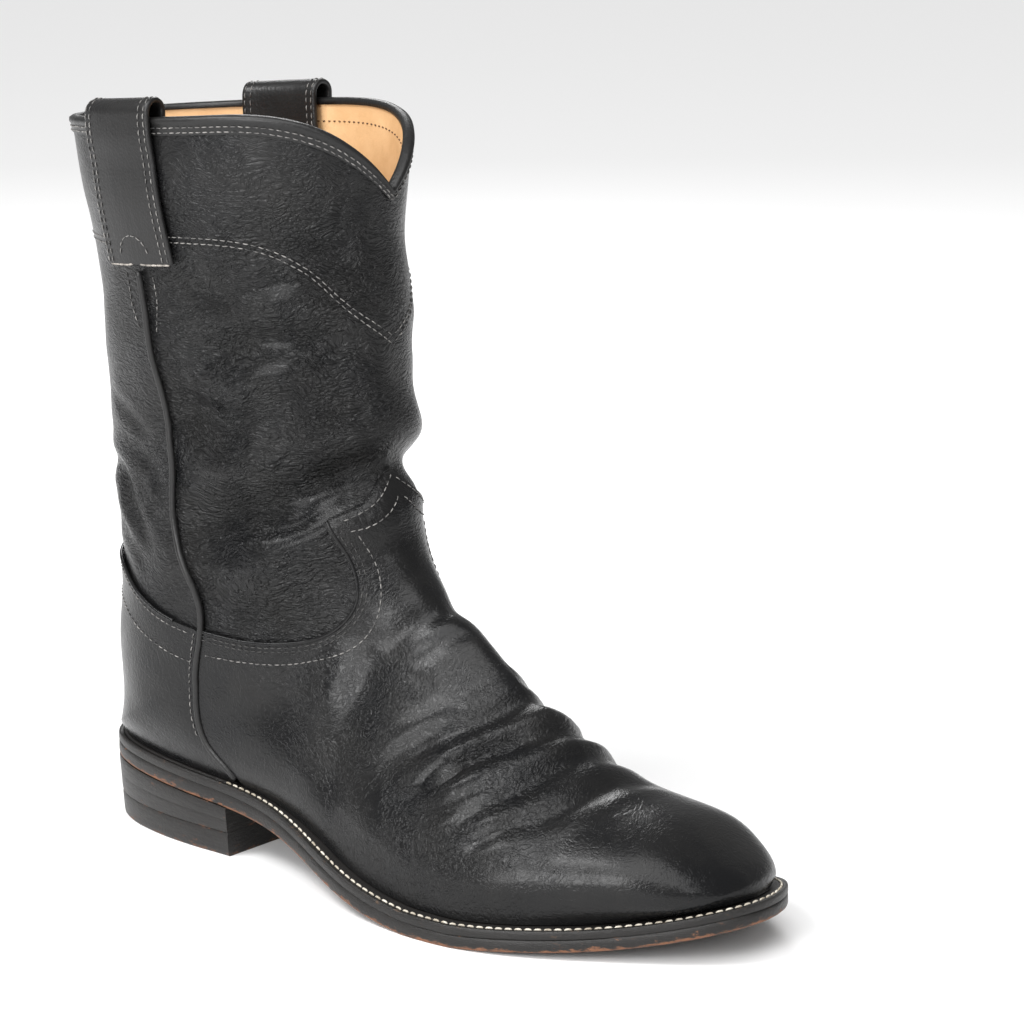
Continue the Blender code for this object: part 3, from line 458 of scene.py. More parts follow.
def near_line(points, line):
    """Distance of each point to a line of points, and the share along it of the nearest place."""
    best = np.full(len(points), 1e9)
    share = np.zeros(len(points))
    for i, (a, b) in enumerate(zip(line, line[1:])):
        along = b - a
        part = np.clip((points - a) @ along / (along @ along), 0, 1)
        distance = ((points - a - part[:, None] * along) ** 2).sum(axis=1)
        closer = distance < best
        best = np.where(closer, distance, best)
        share = np.where(closer, (i + part) / (len(line) - 1), share)
    return np.sqrt(best), share


def relief(points):
    """How far the worn leather stands out from the form, in mm."""
    flat = points.reshape(-1, 3)
    total = np.zeros(len(flat))
    for depth, half_width, line in CREASE_LINES:
        reach = half_width * 4.5
        inside = np.all((flat > line.min(axis=0) - reach) & (flat < line.max(axis=0) + reach), axis=1)
        distance, share = near_line(flat[inside], line)
        taper = np.clip(np.minimum(share, 1 - share) / 0.22, 0.06, 1) ** 0.7
        trough = np.exp(-(distance / half_width) ** 2)
        ridge = np.exp(-((distance - 2.1 * half_width) / (1.1 * half_width)) ** 2)
        total[inside] += depth * taper * (RIDGE * ridge - trough)
    for height, radius, spot in SWELLING_SPOTS:
        total += height * np.exp(-((flat - spot) ** 2).sum(axis=1) / radius ** 2)
    for wave, amount in ((26.0, 0.55), (11.0, 0.22)):
        calm = 1 - 0.7 * ramp(flat[:, 0], 215.0, 250.0)
        total += amount * calm * np.array([noise.noise(Vector(p / wave)) for p in flat])
    height = flat[:, 2] - feather_z(flat[:, 0])
    fade = ramp(height, 2.0, 16.0) * (1 - ramp(flat[:, 2], 236.0, 262.0) * 0.8)
    return (total * fade).reshape(points.shape[:-1])


def puckers(points):
    """Strength of the fine wrinkles at each point."""
    total = np.full(len(points), 0.12)
    for strength, radius, spot in PUCKER_SPOTS:
        total += strength * np.exp(-((points - spot) ** 2).sum(axis=1) / radius ** 2)
    return np.clip(total, 0, 1)


def leather_layers(t, s, outs):
    """Points of the worn leather at some distances out from the upper's outer face."""
    t, s = np.broadcast_arrays(np.asarray(t, float), np.asarray(s, float))
    flat = form(t, s)
    normal = form_normal(t, s)
    push = relief(flat) - lap(t)
    on_feather = ((np.abs(s) > 1 - 1e-6) & (t > OPEN_FROM)) | (t > LAST - 1e-6)
    layers = []
    for out in outs:
        point = flat + normal * (out + push)[..., None]
        point[..., 2] = np.where(on_feather, feather_z(point[..., 0]) + STAND, point[..., 2])
        layers.append(point)
    return layers


def leather(t, s, out=0.0):
    return leather_layers(t, s, (out,))[0]


# Meshes


def to_world(points):
    return (np.asarray(points, float) - (BOX_MIDDLE_X, BOX_MIDDLE_Y, 0)) * MM


def turned(points, faces):
    """The faces, flipped if they face inward."""
    total = 0.0
    points = np.asarray(points)
    for face in faces:
        first = points[face[0]]
        for b, c in zip(face[1:], face[2:]):
            total += np.dot(first, np.cross(points[b], points[c]))
    return faces if total > 0 else [face[::-1] for face in faces]


def thing(name, points, faces, finish, replaces=(), slot=None, sharp=38):
    """A smooth mesh object from points in mm, riding on the boot."""
    points = np.asarray(points, float)
    middle = points.mean(axis=0)
    mesh = bpy.data.meshes.new(name)
    mesh.from_pydata(to_world(points).tolist(), [], turned(points - middle, faces))
    mesh.validate()
    made = bpy.data.objects.new(name, mesh)
    bpy.context.scene.collection.objects.link(made)
    mesh.shade_smooth()
    if sharp:
        mesh.set_sharp_from_angle(angle=np.radians(sharp))
    mesh.materials.append(finish)
    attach(made, "root")
    for node in replaces:
        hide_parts(node)
    return made


def mark(made, name, values):
    """A number at each corner of a mesh, for its material."""
    attribute = made.data.attributes.new(name, "FLOAT", "POINT")
    attribute.data.foreach_set("value", np.asarray(values, np.float32))


def mark_puckers(made):
    points = np.array([v.co for v in made.data.vertices]) / MM + (BOX_MIDDLE_X, BOX_MIDDLE_Y, 0)
    mark(made, "pucker", puckers(points))


def wall(name, t, s, inner, outer, finish, **options):
    """A closed wall between two distances from the upper's face over a grid of t and s."""
    rows, columns = t.shape
    layers = leather_layers(t, s, (outer, inner))
    merged = t[:, 0] <= OPEN_FROM + 1e-9
    index = np.zeros((2, rows, columns), int)
    points = []
    for face in (0, 1):
        for i in range(rows):
            keep = columns - 1 if merged[i] else columns
            index[face, i, :keep] = np.arange(len(points), len(points) + keep)
            if merged[i]:
                index[face, i, -1] = index[face, i, 0]
            points.extend(layers[face][i, :keep])
    faces = []
    for i in range(rows - 1):
        for j in range(columns - 1):
            for face in (0, 1):
                below = (index[face, i + 1, j + 1], index[face, i + 1, j])
                quad = [index[face, i, j], index[face, i, j + 1], *below]
                if face == 0:
                    quad.reverse()
                quad = list(dict.fromkeys(int(k) for k in quad))
                if len(quad) > 2:
                    faces.append(quad)
    rims = [[(0, j) for j in range(columns)]]
    opened = [i for i in range(rows) if not merged[i]]
    if opened:
        corner = [opened[0] - 1] if opened[0] > 0 else []
        down = [(i, 0) for i in corner + opened]
        up = [(i, columns - 1) for i in (corner + opened)[::-1]]
        rims.append((down + [(rows - 1, j) for j in range(1, columns)] + up[1:])[::-1])
    else:
        rims.append([(rows - 1, j) for j in range(columns)][::-1])
    for rim in rims:
        for (i, j), (k, l) in zip(rim, rim[1:]):
            quad = [index[0, i, j], index[0, k, l], index[1, k, l], index[1, i, j]]
            quad = list(dict.fromkeys(int(q) for q in quad))
            if len(quad) > 2:
                faces.append(quad)
    return thing(name, points, faces, finish, **options)


def swept(name, rings, finish, closed=False, **options):
    """A solid through rings of equal length."""
    count = len(rings[0])
    faces = []
    spans = len(rings) if closed else len(rings) - 1
    for i in range(spans):
        a, b = i * count, (i + 1) % len(rings) * count
        for j in range(count):
            k = (j + 1) % count
            faces.append((a + j, b + j, b + k, a + k))
    if not closed:
        faces.append(tuple(range(count)))
        faces.append(tuple(range(len(rings) * count - 1, (len(rings) - 1) * count - 1, -1)))
    return thing(name, np.concatenate(rings), faces, finish, **options)


def cut_through(made, outlines):
    """Keep what lies inside each outline, drawn through along Y (x and z) or X (y and z)."""
    for axis, outline in outlines:
        flat = np.asarray(outline, float)
        reach = 400.0
        rings = []
        for end in (-reach, reach):
            level = np.full(len(flat), end)
            order = (flat[:, 0], level, flat[:, 1]) if axis == "Y" else (level, flat[:, 0], flat[:, 1])
            rings.append(to_world(np.column_stack(order)))
        count = len(flat)
        faces = [(j, count + j, count + (j + 1) % count, (j + 1) % count) for j in range(count)]
        faces += [tuple(range(count)), tuple(range(2 * count - 1, count - 1, -1))]
        points = np.concatenate(rings)
        mesh = bpy.data.meshes.new("cutter")
        mesh.from_pydata(points.tolist(), [], turned(points - points.mean(axis=0), faces))
        cutter = bpy.data.objects.new("cutter", mesh)
        bpy.context.scene.collection.objects.link(cutter)
        cut = made.modifiers.new("cut", "BOOLEAN")
        cut.operation = "INTERSECT"
        cut.solver = "MANIFOLD"
        cut.object = cutter
        graph = bpy.context.evaluated_depsgraph_get()
        result = bpy.data.meshes.new_from_object(made.evaluated_get(graph), depsgraph=graph)
        made.modifiers.clear()
        made.data = result
        bpy.data.objects.remove(cutter)
    made.data.shade_smooth()
    made.data.set_sharp_from_angle(angle=np.radians(38))


def seam_line(below, shift):
    """The side seam's lower points moved sideways, and run on past the welt."""
    smooth = through(np.array(SEAM[SEAM_BELOW:]), 40)
    along = np.gradient(smooth, axis=0)
    along /= np.linalg.norm(along, axis=1)[:, None]
    moved = smooth + np.column_stack([-along[:, 1], along[:, 0]]) * shift
    return np.concatenate([moved, [moved[-1] + along[-1] * below]])


def stitches(name, lines, finish, length=2.3, space=0.75, radius=0.26, lift=0.1, wobble=0.12):
    """One mesh of stitches along lines, each given as points and normals in mm."""
    random = np.random.default_rng(len(name) * 7 + 3)
    points, faces = [], []
    angles = np.arange(6) * np.pi / 3
    profile = ((0.0, 0.35, -0.5), (0.18, 0.95, 0.55), (0.5, 1.0, 1.0), (0.82, 0.95, 0.55), (1.0, 0.35, -0.5))
    for line, normals in lines:
        reach = np.concatenate([[0], np.cumsum(np.linalg.norm(np.diff(line, axis=0), axis=1))])
        for start in np.arange(0.3, reach[-1] - length, length + space):
            ends = []
            for place in (start, start + length):
                spot = [np.interp(place, reach, line[:, k]) for k in range(3)]
                ends.append(np.array(spot))
            normal = unit(np.array([np.interp(start + length / 2, reach, normals[:, k]) for k in range(3)]))
            along = unit(ends[1] - ends[0])
            across = unit(np.cross(along, normal))
            shift = across * random.normal(0, wobble)
            base = len(points)
            for part, size, rise in profile:
                raised = normal * (lift + rise * 0.16)
                centre = ends[0] + (ends[1] - ends[0]) * part + shift * (part - 0.5) + raised
                for angle in angles:
                    points.append(centre + radius * size * (np.cos(angle) * across + np.sin(angle) * normal))
            rows = len(profile)
            for i in range(rows - 1):
                for j in range(6):
                    k = (j + 1) % 6
                    low, high = base + i * 6, base + i * 6 + 6
                    faces.append((low + j, low + k, high + k, high + j))
            faces.append(tuple(base + j for j in range(5, -1, -1)))
            faces.append(tuple(base + (rows - 1) * 6 + j for j in range(6)))
    return thing(name, points, faces, finish, sharp=0)


def stitch_line(route, out):
    """Points and normals over the worn leather along a route of section numbers and shares."""
    return leather(route[:, 0], route[:, 1], out), form_normal(route[:, 0], route[:, 1])


def to_back(route, side):
    """The route carried on from its first point to the back line, at the same height."""
    height = form(route[0, 0], route[0, 1])[2]
    numbers = np.linspace(0, OPEN_FROM, 200)
    number = np.interp(-height, -form(numbers, float(side))[:, 2], numbers)
    first = np.array([number, side])
    steps = np.linspace(0, 1, 12)[:-1, None]
    return np.vstack([first + (route[0] - first) * steps, route])


def dense(route, count=220):
    """The same route with evenly spaced points."""
    place = form(route[:, 0], route[:, 1])
    reach = np.concatenate([[0], np.cumsum(np.linalg.norm(np.diff(place, axis=0), axis=1))])
    at = np.linspace(0, reach[-1], count)
    return np.column_stack([np.interp(at, reach, route[:, k]) for k in (0, 1)])


# Materials


class Nodes:
    """Short ways to make and join a material's nodes."""

    def __init__(self, name):
        self.material = bpy.data.materials.new(name)
        self.material.use_nodes = True
        self.tree = self.material.node_tree
        self.shader = self.tree.nodes["Principled BSDF"]
        self.place = self.tree.nodes.new("ShaderNodeTexCoord").outputs["Object"]
        self.height = None

    def node(self, kind, **values):
        made = self.tree.nodes.new(kind)
        for key, value in values.items():
            if hasattr(made, key):
                setattr(made, key, value)
            else:
                self.feed(made.inputs[key.replace("_", " ")], value)
        return made

    def feed(self, socket, value):
        if isinstance(value, bpy.types.NodeSocket):
            self.tree.links.new(value, socket)
        else:
            socket.default_value = value

    def mapped(self, scale, turn=(0, 0, 0)):
        made = self.tree.nodes.new("ShaderNodeMapping")
        self.feed(made.inputs["Vector"], self.place)
        made.inputs["Scale"].default_value = scale
        made.inputs["Rotation"].default_value = turn
        return made.outputs["Vector"]

    def noise(self, scale, detail=3.0, roughness=0.5, vector=None, distortion=0.0):
        made = self.tree.nodes.new("ShaderNodeTexNoise")
        self.feed(made.inputs["Vector"], vector or self.place)
        made.inputs["Scale"].default_value = scale
        made.inputs["Detail"].default_value = detail
        made.inputs["Roughness"].default_value = roughness
        made.inputs["Distortion"].default_value = distortion
        return made.outputs["Fac"]

    def cells(self, scale, vector=None, feature="F1", randomness=1.0):
        made = self.tree.nodes.new("ShaderNodeTexVoronoi")
        made.feature = feature
        self.feed(made.inputs["Vector"], vector or self.place)
        made.inputs["Scale"].default_value = scale
        made.inputs["Randomness"].default_value = randomness
        return made.outputs["Distance"]

    def math(self, operation, a, b=0.0, clamp=False):
        made = self.tree.nodes.new("ShaderNodeMath")
        made.operation = operation
        made.use_clamp = clamp
        self.feed(made.inputs[0], a)
        self.feed(made.inputs[1], b)
        return made.outputs[0]

    def range(self, value, low, high, to_low=0.0, to_high=1.0):
        made = self.tree.nodes.new("ShaderNodeMapRange")
        self.feed(made.inputs["Value"], value)
        for key, number in (("From Min", low), ("From Max", high), ("To Min", to_low), ("To Max", to_high)):
            made.inputs[key].default_value = number
        return made.outputs["Result"]

    def mix(self, share, a, b):
        made = self.tree.nodes.new("ShaderNodeMix")
        made.data_type = "RGBA"
        self.feed(made.inputs["Factor"], share)
        self.feed(made.inputs["A"], (*a, 1) if isinstance(a, tuple) else a)
        self.feed(made.inputs["B"], (*b, 1) if isinstance(b, tuple) else b)
        return made.outputs["Result"]

    def attribute(self, name):
        made = self.tree.nodes.new("ShaderNodeAttribute")
        made.attribute_name = name
        return made.outputs["Fac"]

    def bump(self, height, distance, strength=1.0):
        made = self.tree.nodes.new("ShaderNodeBump")
        made.inputs["Strength"].default_value = strength
        made.inputs["Distance"].default_value = distance
        self.feed(made.inputs["Height"], height)
        if self.height is not None:
            self.tree.links.new(self.height, made.inputs["Normal"])
        self.height = made.outputs["Normal"]

    def done(self, colour, roughness, coat=0.0, coat_roughness=0.2, specular=0.5):
        self.feed(self.shader.inputs["Base Color"], (*colour, 1) if isinstance(colour, tuple) else colour)
        self.feed(self.shader.inputs["Roughness"], roughness)
        self.shader.inputs["Coat Weight"].default_value = coat
        self.shader.inputs["Coat Roughness"].default_value = coat_roughness
        self.shader.inputs["Specular IOR Level"].default_value = specular
        if self.height is not None:
            self.tree.links.new(self.height, self.shader.inputs["Normal"])
        return self.material


def black_leather(name, stretch, wrinkles, roughness, coat):
    """Worn, polished black calf: pebble grain, fine wrinkles where it creases, dull scuffs."""
    n = Nodes(name)
    pucker = n.attribute("pucker")
    drift = n.tree.nodes.new("ShaderNodeTexNoise")
    drift.inputs["Scale"].default_value = 34
    drift.inputs["Detail"].default_value = 2
    n.feed(drift.inputs["Vector"], n.place)
    moved = n.tree.nodes.new("ShaderNodeVectorMath")
    moved.operation = "MULTIPLY_ADD"
    n.feed(moved.inputs[0], drift.outputs["Color"])
    moved.inputs[1].default_value = (0.02, 0.02, 0.02)
    n.feed(moved.inputs[2], n.place)
    warp = n.tree.nodes.new("ShaderNodeMapping")
    n.feed(warp.inputs["Vector"], moved.outputs["Vector"])
    warp.inputs["Scale"].default_value = stretch
    lines = n.noise(620, 2.5, 0.5, warp.outputs["Vector"], 0.35)
    creases = n.range(n.math("ABSOLUTE", n.math("SUBTRACT", lines, 0.5)), 0.0, 0.16)
    strength = n.math("MULTIPLY", pucker, wrinkles)
    n.bump(n.math("MULTIPLY", creases, strength), 0.0009)
    n.bump(n.cells(1300), 0.00005, 0.8)
    n.bump(n.noise(300, 4.0, 0.6), 0.00007)
    patches = n.noise(38, 5.0, 0.62)
    scuffs = n.range(n.noise(260, 6.0, 0.75, n.mapped((1.0, 0.35, 0.6))), 0.68, 0.76)
    worn = n.math("MULTIPLY", scuffs, n.range(patches, 0.52, 0.68))
    colour = n.mix(n.range(patches, 0.35, 0.7), (0.0052, 0.0053, 0.0058), (0.0105, 0.0102, 0.0100))
    colour = n.mix(n.math("MULTIPLY", worn, 0.4), colour, (0.05, 0.043, 0.038))
    rough = n.range(patches, 0.3, 0.72, roughness - 0.05, roughness + 0.10)
    rough = n.math("ADD", rough, n.math("MULTIPLY", worn, 0.2), True)
    return n.done(colour, rough, coat, 0.2, 0.18)


def trim_leather(name):
    n = Nodes(name)
    n.bump(n.cells(1000), 0.00009, 0.8)
    n.bump(n.noise(190, 4.0, 0.6, n.mapped((1.0, 1.0, 0.35))), 0.00025)
    patches = n.noise(60, 5.0, 0.6)
    colour = n.mix(patches, (0.006, 0.006, 0.0065), (0.012, 0.0115, 0.011))
    return n.done(colour, n.range(patches, 0.3, 0.7, 0.34, 0.48), 0.1, 0.26, 0.28)


def lining_leather(name):
    n = Nodes(name)
    n.bump(n.noise(520, 4.0, 0.65), 0.00015)
    patches = n.noise(45, 5.0, 0.6)
    colour = n.mix(n.range(patches, 0.3, 0.7), (0.56, 0.325, 0.145), (0.75, 0.48, 0.25))
    colour = n.mix(n.range(n.noise(14, 3.0), 0.5, 0.75, 0.0, 0.35), colour, (0.42, 0.235, 0.10))
    return n.done(colour, 0.62)


def thread(name, light, dark):
    n = Nodes(name)
    n.bump(n.noise(2600, 2.0), 0.00008)
    return n.done(n.mix(n.range(n.noise(300, 4.0), 0.35, 0.65), light, dark), 0.7)


def sole_edge(name, brown, reach):
    """Blackened leather edge, rubbed brown along its corners and scratched."""
    n = Nodes(name)
    rub = n.attribute("rub")
    streak = n.mapped((1.0, 1.0, 5.0))
    n.bump(n.noise(150, 6.0, 0.7, streak), 0.0004)
    n.bump(n.noise(900, 4.0, 0.6), 0.0002)
    chips = n.noise(210, 8.0, 0.78, n.mapped((0.8, 0.8, 1.8)))
    bare = n.math("MULTIPLY", n.range(n.math("ADD", chips, n.math("MULTIPLY", rub, reach)), 0.66, 0.76), 1.0)
    shade = n.mix(n.noise(70, 5.0, 0.6), (0.0065, 0.0062, 0.006), (0.015, 0.0135, 0.0125))
    colour = n.mix(bare, shade, brown)
    rough = n.range(bare, 0.0, 1.0, 0.42, 0.72)
    return n.done(colour, rough, 0.05, 0.4, 0.3)


def floor_finish():
    n = Nodes("floor_finish")
    n.bump(n.noise(900, 3.0), 0.00004, 0.4)
    return n.done((0.92, 0.92, 0.92), 0.6)


SHAFT = black_leather("shaft_black", (0.42, 0.42, 1.0), 1.0, 0.29, 0.10)
FOOT = black_leather("foot_black", (0.8, 0.4, 0.8), 0.6, 0.26, 0.12)
TRIM = trim_leather("trim_black")
TAN = lining_leather("tan_lining")
BLACK_THREAD = thread("black_thread", (0.22, 0.21, 0.20), (0.022, 0.022, 0.022))
DARK_THREAD = thread("dark_thread", (0.05, 0.048, 0.046), (0.012, 0.012, 0.012))
PALE_THREAD = thread("pale_thread", (0.62, 0.58, 0.50), (0.30, 0.26, 0.20))
TAN_THREAD = thread("tan_thread", (0.16, 0.08, 0.03), (0.08, 0.04, 0.02))
RAW_EDGE = thread("raw_edge", (0.34, 0.31, 0.28), (0.10, 0.09, 0.08))
EDGE = sole_edge("sole_edge_black", (0.19, 0.085, 0.045), 0.27)
HEEL_EDGE = sole_edge("heel_edge_black", (0.15, 0.07, 0.04), 0.17)
WELT_TOP = sole_edge("welt_black", (0.10, 0.06, 0.035), 0.12)

# Shaft, lining, vamp and counter
fine = 1
half = 110 // fine
numbers = np.concatenate([np.linspace(0, 1.5, 26 // fine), np.linspace(1.5, 9.0, 150 // fine)[1:],
                          np.linspace(9.0, 10.4, 14)[1:], np.linspace(10.4, 20.0, 30)[1:]])
shares = np.linspace(-1, 1, 2 * half + 1)
start = collar_start(shares)


def graded(rows):
    """Rows of section numbers that begin on the collar's edge."""
    fade = np.clip(1 - rows / COLLAR_ROWS, 0, 1)
    t = rows[:, None] + start[None, :] * fade[:, None]
    return t, np.broadcast_to(shares, t.shape)


t, s = graded(numbers)
shaft = wall("shaft", t, s, -1.3, 0.0, SHAFT, replaces=("upper",), slot="shaft_leather")
mark_puckers(shaft)

rows_down = np.concatenate([np.linspace(0, 9.0, 60), np.linspace(9.0, 10.4, 12)[1:],
                            np.linspace(10.4, 20, 60)[1:]])
shares = np.linspace(-1, 1, 121)
start = collar_start(shares)
t, s = graded(rows_down)
wall("lining", t, s, -WALL, -1.4, TAN, replaces=("upper",), slot="tan_leather")

shares = np.linspace(-1, 1, 2 * half + 1)
foot_rows = np.concatenate([np.linspace(4.6, 9.0, 80 // fine), np.linspace(9.0, 9.3, 3)[1:],
                            np.linspace(9.3, 10.4, 14 // fine)[1:], np.linspace(10.4, 20, 130 // fine)[1:]])
t, s = np.meshgrid(foot_rows, shares, indexing="ij")
vamp = wall("vamp_leather", t, s, GAP, LAP, FOOT, replaces=("vamp",), slot="foot_leather")
seam = seam_line(30.0, PIPING_RADIUS + 0.25)
edge = through(VAMP_EDGE, 90)
edge = edge[edge[:, 0] > seam[0, 0] + 0.3]
side_point = VAMP_EDGE[-1]
ahead, high, deep, wide = 360.0, 330.0, -60.0, 120.0
outline = [*seam[::-1], *edge, (side_point[0], high), (ahead, high), (ahead, deep), (seam[-1, 0], deep)]
peak = through(TONGUE_PEAK, 30)
left = [(-y, z) for y, z in peak]
right = [(y, z) for y, z in peak[-2::-1]]
front = [(-wide, deep), (-wide, peak[0][1]), *left, *right, (wide, peak[0][1]), (wide, deep)]
cut_through(vamp, (("Y", outline), ("X", front)))
mark_puckers(vamp)

back_rows = np.concatenate([np.linspace(4.6, 9.0, 80 // fine), np.linspace(9.0, 9.3, 3)[1:],
                            np.linspace(9.3, 10.4, 14 // fine)[1:], np.linspace(10.4, 13.0, 22 // fine)[1:]])
t, s = np.meshgrid(back_rows, shares, indexing="ij")
counter = wall("counter_leather", t, s, GAP, LAP, FOOT, replaces=("counter",), slot="foot_leather")
seam = seam_line(30.0, -PIPING_RADIUS - 0.25)
edge = through(COUNTER_EDGE, 60)
edge = edge[edge[:, 0] < seam[0, 0] - 0.3]
behind = -60.0
outline = [(behind, deep), (behind, edge[0, 1]), *edge, *seam, (seam[-1, 0], deep)]
cut_through(counter, (("Y", outline),))
mark_puckers(counter)

# Pipings down the side seams
seam_curve = through(SEAM, 150)
seam_curve = seam_curve[seam_curve[:, 1] > feather_z(seam_curve[:, 0]) + PIPING_RADIUS + 0.6]
for name, side in (("lateral", -1), ("medial", 1)):
    route = on_form(seam_curve, side)
    out = form_normal(route[:, 0], route[:, 1])
    centre = leather(route[:, 0], route[:, 1], PIPING_RADIUS * 0.85 + 0.35)
    along = unit(np.gradient(centre, axis=0))
    across = unit(np.cross(along, out))
    out = np.cross(across, along)
    angles = np.arange(10) * np.pi / 5
    rings = [c + PIPING_RADIUS * (1.05 * np.outer(np.cos(angles), a) + np.outer(np.sin(angles), o))
             for c, a, o in zip(centre, across, out)]
    swept("piping_cord_" + name, rings, TRIM, replaces=("piping_" + name,), slot="trim_leather", sharp=0)
    stitch = []
    line = seam_curve[(seam_curve[:, 1] > 100) & (seam_curve[:, 1] < 216)] - (2.6, 0)
    stitch.append(stitch_line(dense(on_form(line, side)), 0.0))
    for shift, low, high_z in ((-9.5, 195.0, 219.0), (6.0, 197.0, 219.0)):
        line = seam_curve[(seam_curve[:, 1] > low) & (seam_curve[:, 1] < high_z)]
        bend = np.clip((line[:, 1] - low) / 12.0, 0, 1)
        line = line + np.column_stack([shift * (0.55 + 0.45 * bend), np.zeros(len(line))])
        stitch.append(stitch_line(dense(on_form(line, side)), 0.0))
    stitches("seam_stitches_" + name, stitch, BLACK_THREAD, 1.9, 0.8, 0.2, 0.04)

# Collar binding, folded over the top edge
shares = np.linspace(-1, 1, 241)[:-1]
start = collar_start(shares)
per_mm = 1 / (SECTIONS["collar"][1] - SECTIONS["shaft_1"][1])
outer, inner = BINDING_GAP * 0.5, -WALL - BINDING_GAP * 0.5
profile = ((outer, -5.5), (outer + 0.25, -5.6), (outer + 0.4, -5.2), (outer + 0.4, -2.0), (outer + 0.75, -1.6),
           (outer + 0.95, -0.7), (outer + 0.75, 0.4), (-0.2, 1.05), (-2.0, 1.05), (inner - 0.6, 0.35),
           (inner - 0.8, -0.5), (inner - 0.6, -1.5), (inner, -1.7), (inner, 0.1), (outer, 0.1))
lines = [leather(start + max(-up, 0) * per_mm, shares, out) + (0, 0, max(up, 0)) for out, up in profile]
rings = [np.array(ring) for ring in zip(*lines)]
swept("binding_fold", rings, TRIM, closed=True, replaces=("collar_binding",), slot="trim_leather", sharp=60)

collar_rows = []
for down in (2.9, 4.7):
    route = np.column_stack([start + down * per_mm, shares])
    collar_rows.append(stitch_line(dense(np.vstack([route, route[:1] + (0, 2)]), 500), outer + 0.4))
stitches("collar_stitches", collar_rows, BLACK_THREAD, 2.0, 0.8, 0.22, 0.05)
route = np.column_stack([start + 8.0 * per_mm, shares])
inside = leather(route[:, 0], route[:, 1], -WALL)
stitches("lining_stitches", [(inside, -form_normal(route[:, 0], route[:, 1]))], TAN_THREAD, 1.3, 1.5, 0.3, 0.0)

# Yoke seam
yoke = ((19, -1, 229), (32, -1, 229.5), (45, -1, 231), (69, -1, 233.5), (82.5, -1, 234), (106, -1, 231.4),
        (120.5, -1, 222.6), (129, -1, 212), (134, 0, 199))
yoke_rows = []
for side in (-1, 1):
    for drop in (0.0, 2.0):
        spots = [(x, 0 if place == 0 else side, z - drop * (1.5 if place == 0 else 1)) for x, place, z in yoke]
        yoke_rows.append(stitch_line(dense(to_back(surface_line(spots, 160), side), 440), 0.0))
stitches("yoke_stitches", yoke_rows, BLACK_THREAD, 2.1, 0.8, 0.22, 0.05)

# Rows along the edges of vamp and counter
vamp_second = ((73.4, 77.7), (90.8, 77.4), (107.3, 78.6), (122.5, 82.3), (136.3, 89.1), (141.7, 97.9),
               (141.8, 109.1), (136.8, 121.4), (132.5, 129.7))
tongue_second = ((18.6, 129.9), (13.0, 131.7), (9.0, 134.1), (4.5, 137.6), (0.3, 141.9))
edge_rows, first_rows = [], []
for side in (-1, 1):
    edge = through(VAMP_EDGE, 60)
    along = np.gradient(edge, axis=0)
    along /= np.linalg.norm(along, axis=1)[:, None]
    for inward in (1.5, 3.0):
        row = edge + np.column_stack([along[:, 1], -along[:, 0]]) * inward
        row = row[row[:, 1] < side_point[1] - 1.6 * inward]
        first_rows.append(stitch_line(dense(on_form(row, side)), LAP))
    tongue = np.array([(side * y, z - 2.2) for y, z in peak if y < 20.5])
    tongue[:, 0] = np.abs(tongue[:, 0]) * side
    front_route = on_form(tongue, side, (1, 2), (0.0, 0.6))
    edge_rows.append(stitch_line(dense(front_route, 60), LAP))
    edge_rows.append(stitch_line(dense(on_form(through(vamp_second, 50), side)), LAP))
    second = np.array([(side * y, z) for y, z in tongue_second])
    edge_rows.append(stitch_line(dense(on_form(through(second, 14), side, (1, 2), (0.0, 0.6)), 60), LAP))
    for low in (2.2, 13.6):
        row = through(COUNTER_EDGE, 60) - (0, low)
        row = row[(row[:, 0] > 8) & (row[:, 0] < 69.5)]
        edge_rows.append(stitch_line(dense(to_back(on_form(row, side), side)), LAP))
    low_seam = through(np.array(SEAM[SEAM_BELOW:]), 60)
    low_seam = low_seam[low_seam[:, 1] > 45]
    edge_rows.append(stitch_line(dense(on_form(low_seam - (2.9, 0), side)), LAP))

# Turned edges of vamp and counter
for name, side in (("lateral", -1), ("medial", 1)):
    for part_of, curve in (("vamp", VAMP_EDGE), ("counter", COUNTER_EDGE)):
        line = through(curve, 90)
        if part_of == "vamp":
            route = on_form(line[line[:, 0] > 64.5], side)
        else:
            route = to_back(on_form(line[(line[:, 0] > 9) & (line[:, 0] < 60)], side), side)
        route = dense(route, 150)
        centre = leather(route[:, 0], route[:, 1], LAP - 0.25)
        out = form_normal(route[:, 0], route[:, 1])
        along = unit(np.gradient(centre, axis=0))
        across = unit(np.cross(along, out))
        angles = np.arange(8) * np.pi / 4
        rings = [c + 0.75 * (np.outer(np.cos(angles), a) + np.outer(np.sin(angles), o))
                 for c, a, o in zip(centre, across, out)]
        swept("turned_edge_" + part_of + "_" + name, rings, FOOT, replaces=(part_of,),
              slot="foot_leather", sharp=0)
stitches("edge_stitches", edge_rows, BLACK_THREAD, 2.0, 0.8, 0.22, 0.05)
stitches("first_stitches", first_rows, DARK_THREAD, 2.0, 0.8, 0.22, 0.05)

# Pull straps


def rim_height(x):
    front_x, front_z, back_x, back_z = SECTIONS["collar"][:4]
    return back_z + (front_z - back_z) * (x - back_x) / (front_x - back_x)


